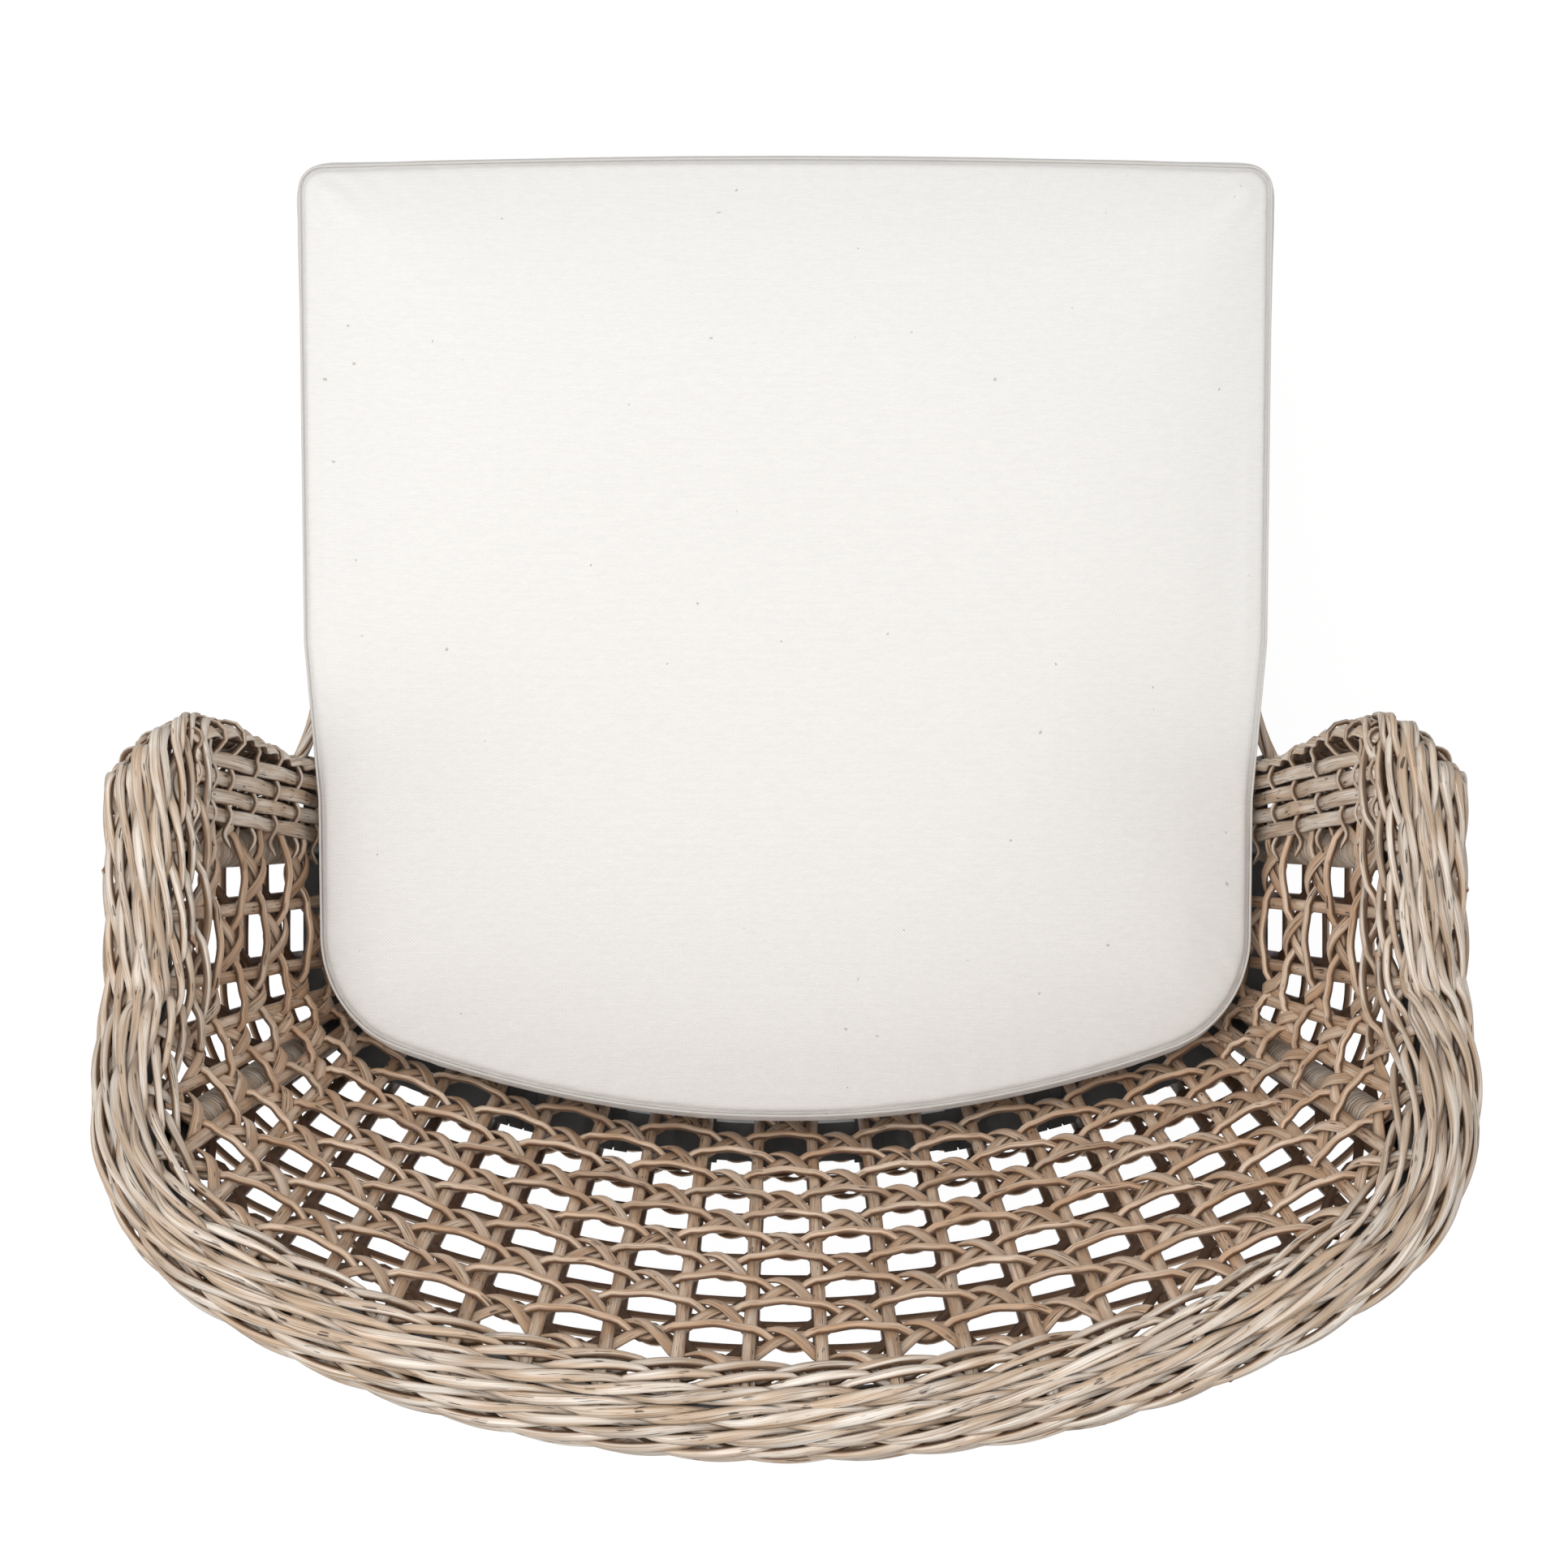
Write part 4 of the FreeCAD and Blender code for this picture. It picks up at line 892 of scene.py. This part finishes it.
def winding(foot, head, tube, width, thick, turnPitch):  # one helix wound closely round a tube
    foot, head = np.array(foot, float), np.array(head, float)
    axis = head - foot
    length = float(np.linalg.norm(axis))
    axis /= length
    across = np.cross(axis, [0, 1, 0])
    across /= np.linalg.norm(across)
    other = np.cross(axis, across)
    turns = length / turnPitch
    angle = np.linspace(0, 2 * math.pi * turns, int(turns * 14))
    radius = tube / 2 + thick / 2 + 0.0002
    out = np.outer(np.cos(angle), across) + np.outer(np.sin(angle), other)
    path = foot + np.outer(angle / (2 * math.pi) * turnPitch, axis) + out * radius
    return strand(path, out, width, thick, 6)


def bindingEnds(item):  # ends of a CAD binding's axis, from its own mesh
    points = np.array([item.matrix_world @ vertex.co for vertex in item.data.vertices])
    bottom = points[points[:, 2] < points[:, 2].min() + 0.004].mean(0)
    top = points[points[:, 2] > points[:, 2].max() - 0.004].mean(0)
    return bottom, top


def makeBindings():
    posts = ("rear_left_post", "rear_right_post", "left_arm_post", "right_arm_post")
    legs = ("rear_left_leg", "rear_right_leg", "front_left_leg", "front_right_leg")
    for label in posts + legs:
        made = binding["post" if label in posts else "leg"]
        bottom, top = bindingEnds(nodes[label + "_binding"])
        axis = (top - bottom) / np.linalg.norm(top - bottom)
        foot, head = bottom + axis * made["endGap"], top - axis * made["endGap"]
        wound = winding(foot, head, made["tube"], binding["width"], made["thick"], binding["turnPitch"])
        strandPiece(label + "_cane", [wound], caneFinish, replaces=(label + "_binding",))


borders = {
    "step": 0.004,
    "pairs": {"offset": 0.0087, "height": 0.1045, "radius": 0.0024, "rods": 2, "lay": 0.052},
    "foot": {"offset": 0.0, "height": 0.0955, "radius": 0.0026, "rods": 3, "lay": 0.060},
    "seatEdge": {"offset": 0.0, "height": 0.3307, "radius": 0.0022, "rods": 3, "lay": 0.055},
    "hoop": {"offset": 0.0080, "height": 0.1163, "width": 0.0072, "step": 0.006},
}


def twistedLine(low, high, line, side=1):  # rods twisted together along the plan curve
    s = np.arange(low, high + borders["step"] / 2, borders["step"])
    inset = plan["outerInset"] + side * line["offset"]
    centre, outward = wallPoints(s, inset, np.full(len(s), line["height"]))
    radius = line["radius"]
    rodsMade = []
    for rod in range(line["rods"]):
        turn = 2 * math.pi * (s / line["lay"] + rod / line["rods"])
        out = outward * np.cos(turn)[:, None] + np.outer(np.sin(turn), [0, 0, 1])
        rodsMade.append(strand(centre + out * radius, out, radius * 2.3, radius * 1.7))
    return rodsMade


def makeBorders():
    lines = []
    for line, side in (("pairs", -1), ("pairs", 1), ("foot", 1)):
        lines += twistedLine(-frontMiddle, frontMiddle, borders[line], side)
    strandPiece("lower_border_plait", lines, caneFinish, replaces=("lower_border",))
    edge = []
    start = noseStation - 0.030
    for sign in (-1, 1):
        ends = sorted([sign * start, sign * frontMiddle])
        edge += twistedLine(ends[0], ends[1], borders["seatEdge"])
    strandPiece("seat_edge_plait", edge, caneFinish, replaces=("seat_front_border",))
    hoop = borders["hoop"]
    s = np.arange(-frontMiddle, frontMiddle, hoop["step"])
    inset = plan["outerInset"] + hoop["offset"]
    centre, outward = wallPoints(s, inset, np.full(len(s), hoop["height"]))
    ring = strand(centre, outward, hoop["width"], hoop["width"])
    strandPiece("base_hoop_cane", [ring], caneFinish, replaces=("base_hoop",))


makeBindings()
makeBorders()

# The cushion

pad = {
    "frontHalf": 0.305,
    "rearHalf": 0.299,
    "front": -0.376,
    "rear": 0.232,
    "frontCorner": 0.024,
    "rearCorner": 0.082,
    "rearRadius": 0.700,
    "bow": 0.005,
    "thick": 0.112,
    "sideSqueeze": 0.024,
    "rearSqueeze": 0.014,
    "bottom": 0.3371,
    "skin": 0.0015,
    "voxel": 0.0055,
    "sideFill": 0.0045,
    "aheadFill": 0.0078,
    "frontFill": 0.0045,
    "rearFill": 0.0075,
}
fabric = {"mass": 0.3, "stretch": 12, "shear": 6, "bending": 0.6, "pressure": 4, "frames": 20}
seam = {"width": 0.0019, "thick": 0.0016, "depth": 0.0017, "pucker": 0.00028, "zipPanel": (-0.232, 0.228)}
boxing = {  # how far in the cushion's side stands, by share of its thickness
    "heights": np.array([0.045, 0.16, 0.5, 0.84, 0.965]) * pad["thick"],
    "insets": [0.007, 0.002, 0, 0.002, 0.008],
}
topSeam = pad["bottom"] + 0.965 * pad["thick"]
bottomSeam = pad["bottom"] + 0.045 * pad["thick"]


def padOutline(inset, z):  # front middle round to front middle
    squeeze = min(max((topSeam - z) / (topSeam - pad["bottom"]), 0.0), 1.0)
    xf = pad["frontHalf"] - inset - 0.3 * squeeze * pad["sideSqueeze"]
    xr = pad["rearHalf"] - inset - squeeze * pad["sideSqueeze"]
    rf = max(pad["frontCorner"] - inset, pad["frontCorner"] / 3)
    rr = max(pad["rearCorner"] - inset, pad["rearCorner"] / 3)
    front = pad["front"] + inset
    drawn = inset + squeeze ** 2 * pad["rearSqueeze"]
    rear = pad["rear"] - drawn
    big = pad["rearRadius"] - drawn
    bigY = rear - big
    cornerX = xr - rr
    cornerY = bigY + math.sqrt((big - rr) ** 2 - cornerX ** 2)
    turn = math.atan2(cornerY - bigY, cornerX)
    half = []
    chord = xf - rf
    bowed = (chord ** 2 + pad["bow"] ** 2) / (2 * pad["bow"])
    for x in np.linspace(0, chord, 120):
        half.append((x, front - pad["bow"] + bowed - math.sqrt(bowed ** 2 - x ** 2)))
    for angle in np.linspace(-math.pi / 2, 0, 24)[1:]:
        half.append((xf - rf + rf * math.cos(angle), front + rf + rf * math.sin(angle)))
    for share in np.linspace(0, 1, 200)[1:]:
        half.append((xf + (xr - xf) * share, front + rf + (cornerY - front - rf) * share))
    for angle in np.linspace(0, turn, 50)[1:]:
        half.append((cornerX + rr * math.cos(angle), cornerY + rr * math.sin(angle)))
    for angle in np.linspace(turn, math.pi / 2, 110)[1:]:
        half.append((big * math.cos(angle), bigY + big * math.sin(angle)))
    half = np.array(half)
    whole = np.vstack([half, (half * [-1, 1])[::-1][1:-1]])
    return np.column_stack([whole, np.full(len(whole), z)])


def evaluatedMesh(item):
    graph = bpy.context.evaluated_depsgraph_get()
    return bpy.data.meshes.new_from_object(item.evaluated_get(graph))


def meshPoints(mesh):
    flat = np.zeros(len(mesh.vertices) * 3)
    mesh.vertices.foreach_get("co", flat)
    return flat.reshape(-1, 3)


def nearest(points, targets):  # distance from each point to a line of points
    tree = KDTree(len(targets))
    for index, target in enumerate(targets):
        tree.insert(target, index)
    tree.balance()
    return np.array([tree.find(point)[2] for point in points])


def foamMesh():  # the CAD foam, merged and remeshed evenly
    core = nodes["foam_core"]
    whole = bmesh.new()
    whole.from_mesh(core.data)
    whole.transform(core.matrix_world)
    bmesh.ops.remove_doubles(whole, verts=whole.verts, dist=1e-5)
    bmesh.ops.recalc_face_normals(whole, faces=whole.faces)
    item = bpy.data.objects.new("foamForm", bpy.data.meshes.new("foamForm"))
    whole.to_mesh(item.data)
    whole.free()
    scene.collection.objects.link(item)
    remesh = item.modifiers.new("even", "REMESH")
    remesh.mode = "VOXEL"
    remesh.voxel_size = pad["voxel"]
    even = evaluatedMesh(item)
    bpy.data.objects.remove(item)
    return even


def inflate(mesh, held):  # fills the cover out over the foam, the seams held
    item = bpy.data.objects.new("padForm", mesh)
    scene.collection.objects.link(item)
    group = item.vertex_groups.new(name="seams")
    group.add([int(index) for index in np.flatnonzero(held)], 1.0, "REPLACE")
    cloth = item.modifiers.new("cloth", "CLOTH")
    cloth.settings.quality = 6
    cloth.settings.mass = fabric["mass"]
    cloth.settings.tension_stiffness = fabric["stretch"]
    cloth.settings.compression_stiffness = fabric["stretch"]
    cloth.settings.shear_stiffness = fabric["shear"]
    cloth.settings.bending_stiffness = fabric["bending"]
    cloth.settings.use_pressure = True
    cloth.settings.uniform_pressure_force = fabric["pressure"]
    cloth.settings.vertex_group_mass = "seams"
    cloth.settings.pin_stiffness = 1
    cloth.settings.effector_weights.gravity = 0
    cloth.point_cache.frame_start = 1
    cloth.point_cache.frame_end = fabric["frames"]
    for step in range(1, fabric["frames"] + 1):
        scene.frame_set(step)
    moved = meshPoints(evaluatedMesh(item)).copy()
    item.modifiers.clear()
    scene.frame_set(1)
    bpy.data.objects.remove(item, do_unlink=True)
    return moved


def fillOut(points):  # to the cover's full size, held back by the walls, drawn in at the zip
    grown = points.copy()
    side = np.clip((np.abs(points[:, 0]) - 0.15) / 0.13, 0, 1)
    ahead = np.clip((0.03 - points[:, 1]) / 0.10, 0, 1)
    high = np.clip((points[:, 2] - 0.350) / 0.03, 0, 1)
    wider = side * (pad["sideFill"] + pad["aheadFill"] * ahead)
    grown[:, 0] += np.sign(points[:, 0]) * wider * (0.4 + 0.6 * high)
    toFront = np.clip((-0.15 - points[:, 1]) / 0.2, 0, 1)
    grown[:, 1] -= pad["frontFill"] * toFront * (0.4 + 0.6 * high)
    toRear = np.clip((points[:, 1] - 0.05) / 0.12, 0, 1)
    fromZip = np.abs(points[:, 2] - pad["bottom"] - pad["thick"] / 2)
    fromZip = np.clip((fromZip - 0.010) / 0.016, 0, 1)
    grown[:, 1] += pad["rearFill"] * toRear * fromZip * high
    inset = plan["innerInset"] + 0.0113 + plan["lean"] * (plan["height"] - grown[:, 2])
    room = plan["halfWidth"] - inset
    held = (grown[:, 1] > -0.03) & (np.abs(grown[:, 0]) > room)
    grown[:, 0] = np.where(held, np.sign(grown[:, 0]) * room, grown[:, 0])
    grown[:, 2] = np.maximum(grown[:, 2], pad["bottom"] + 0.0003)  # lies on the straps
    return grown


def makeCushion():
    skin = pad["skin"]
    seamHigh = padOutline(0.008 + skin, topSeam - 0.001)
    seamLow = padOutline(0.007 + skin, bottomSeam + skin)
    mesh = foamMesh()
    start = meshPoints(mesh).copy()
    toHigh = nearest(start, seamHigh)
    toLow = nearest(start, seamLow)
    toSeam = np.minimum(toHigh, toLow)
    moved = start
    moved = inflate(mesh, toSeam < 0.004)
    mesh = foamMesh() if len(mesh.vertices) != len(start) else mesh
    shift = moved - start
    length = np.linalg.norm(shift, axis=1)
    print("cover moved", round(float(length.max()) * 1000, 1), "mm at most")
    limit = 0.0005 + 0.0060 * np.clip(toSeam / 0.03, 0, 1)
    limit = np.where(start[:, 2] > topSeam, 0.001 + 0.005 * np.clip(toSeam / 0.05, 0, 1), limit)
    zipNear = np.abs(start[:, 2] - (pad["bottom"] + pad["thick"] / 2)) < 0.022
    zipNear &= (start[:, 1] > 0.15) & (np.abs(start[:, 0]) < 0.24)
    limit = np.where(zipNear, 0.0012, limit)
    shift *= np.minimum(1, limit / np.maximum(length, 1e-9))[:, None]
    points = fillOut(start + shift)
    seamHigh, seamLow = fillOut(seamHigh), fillOut(seamLow)
    mesh.vertices.foreach_set("co", points.ravel())
    form = bpy.data.objects.new("seat_cushion", mesh)
    scene.collection.objects.link(form)
    finer = form.modifiers.new("finer", "SUBSURF")
    finer.levels = 1
    finer.render_levels = 1
    smooth = evaluatedMesh(form)
    form.modifiers.clear()
    form.data = smooth
    sewSeams(smooth, seamHigh, seamLow)
    smooth.polygons.foreach_set("use_smooth", [True] * len(smooth.polygons))
    smooth.materials.clear()
    smooth.materials.append(canvas)
    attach(form, "cushion")
    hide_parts("cushion_cover", "foam_core")
    spread = meshPoints(smooth)
    print("built seat_cushion", len(smooth.polygons), "faces", spread.min(0).round(4), "to",
          spread.max(0).round(4))
    makeSeams(seamHigh, seamLow)


def sewSeams(mesh, seamHigh, seamLow):  # draws the cover in along its seams, with small puckers
    points = meshPoints(mesh).copy()
    normals = np.zeros(len(points) * 3)
    mesh.vertices.foreach_get("normal", normals)
    normals = normals.reshape(-1, 3)
    for line in (seamHigh, seamLow):
        away = nearest(points, line)
        around = np.arctan2(points[:, 1] + 0.07, points[:, 0]) * 0.33
        pucker = np.sin(around / 0.0031) * np.sin(around / 0.0113 + 1.0)
        dip = -seam["depth"] * np.exp(-(away / 0.0030) ** 2)
        fold = seam["pucker"] * pucker * np.exp(-((away - 0.009) / 0.008) ** 2)
        points += normals * (dip + fold)[:, None]
    mesh.vertices.foreach_set("co", points.ravel())
    mesh.update()


def makeSeams(seamHigh, seamLow):
    centre = np.array([0, -0.07, 0.39])
    threads = []
    for line in (seamHigh, seamLow):
        closed = np.vstack([line, line[:1]])
        away = closed - centre
        away[:, 2] = 0.3 * (closed[:, 2] - centre[2])
        threads.append(strand(closed + unit(away) * 0.0004, unit(away), seam["width"], seam["thick"], 6))
    for x in seam["zipPanel"]:
        rise = []
        for share in np.linspace(0, 1, 30):
            z = bottomSeam + (topSeam - bottomSeam) * share
            inset = np.interp(z - pad["bottom"], boxing["heights"], boxing["insets"])
            outline = padOutline(inset + 0.0004, z)
            behind = outline[outline[:, 1] > 0]
            rise.append(behind[np.argmin(np.abs(behind[:, 0] - x))])
        threads.append(strand(np.array(rise), (0, 1, 0), seam["width"], seam["thick"], 6))
    strandPiece("cushion_seams", threads, seamThread, body="cushion")


makeCushion()

# Materials of the CAD nodes that stay

for name, item in nodes.items():
    if name.endswith("_leg") or name.endswith("_post") or "rail" in name or "cross_bar" in name:
        finish = paint
    elif name.startswith("seat_straps"):
        finish = strapFinish
    elif name.endswith("_glide"):
        finish = glideFinish
    elif name == "zipper_tape":
        finish = zipTape
    elif name in ("zipper_slider", "zipper_pull"):
        finish = zipEnamel
    else:
        finish = caneFinish
    item.data.materials.clear()
    item.data.materials.append(finish)

# Floor, background and lights

studio = {
    "floor": (0.62, 0.61, 0.60),
    "glow": 1.12,
    "glowShare": 0.84,
    "overhead": 46,
    "overheadSize": 1.7,
    "fill": 6,
    "world": 0.42,
}


def makeFloor():
    made, tree, shader = material("floorPaper")
    shader.inputs["Base Color"].default_value = (*studio["floor"], 1)
    shader.inputs["Roughness"].default_value = 0.9
    glow = tree.nodes.new("ShaderNodeEmission")
    glow.inputs[0].default_value = (1, 1, 1, 1)
    glow.inputs[1].default_value = studio["glow"]
    rays = tree.nodes.new("ShaderNodeLightPath")
    seen = maths(tree, "MAXIMUM", rays.outputs["Is Camera Ray"], rays.outputs["Is Glossy Ray"])
    seen = maths(tree, "MAXIMUM", seen, rays.outputs["Is Transmission Ray"])
    blend = tree.nodes.new("ShaderNodeMixShader")
    tree.links.new(maths(tree, "MULTIPLY", seen, studio["glowShare"]), blend.inputs[0])
    tree.links.new(shader.outputs[0], blend.inputs[1])
    tree.links.new(glow.outputs[0], blend.inputs[2])
    tree.links.new(blend.outputs[0], tree.nodes["Material Output"].inputs[0])
    card = bmesh.new()
    bmesh.ops.create_grid(card, x_segments=1, y_segments=1, size=6)
    mesh = bpy.data.meshes.new("floor")
    card.to_mesh(mesh)
    card.free()
    floor = bpy.data.objects.new("floor", mesh)
    mesh.materials.append(made)
    scene.collection.objects.link(floor)


def addLamp(name, place, aim, size, power):
    data = bpy.data.lights.new(name, "AREA")
    data.size = size
    data.energy = power
    lamp = bpy.data.objects.new(name, data)
    lamp.location = place
    lamp.rotation_mode = "QUATERNION"
    lamp.rotation_quaternion = (Vector(aim) - Vector(place)).to_track_quat("-Z", "Y")
    scene.collection.objects.link(lamp)


makeFloor()
addLamp("overhead", (0.45, -0.12, 2.9), (0, 0.05, 0.3), studio["overheadSize"], studio["overhead"])
addLamp("leftFill", (2.2, 0.6, 1.6), (0, 0, 0.4), 1.6, studio["fill"])
addLamp("rightFill", (-2.2, 0.3, 1.6), (0, 0, 0.4), 1.6, studio["fill"])
world = bpy.data.worlds.new("world")
scene.world = world
world.use_nodes = True
sky = world.node_tree
sky.nodes["Background"].inputs[0].default_value = (1, 1, 1, 1)
seenSky = sky.nodes.new("ShaderNodeLightPath").outputs["Is Camera Ray"]
skyLight = maths(sky, "MULTIPLY_ADD", seenSky, 1 - studio["world"], studio["world"])  # white where seen
sky.links.new(skyLight, sky.nodes["Background"].inputs[1])
print("stage and lights made")
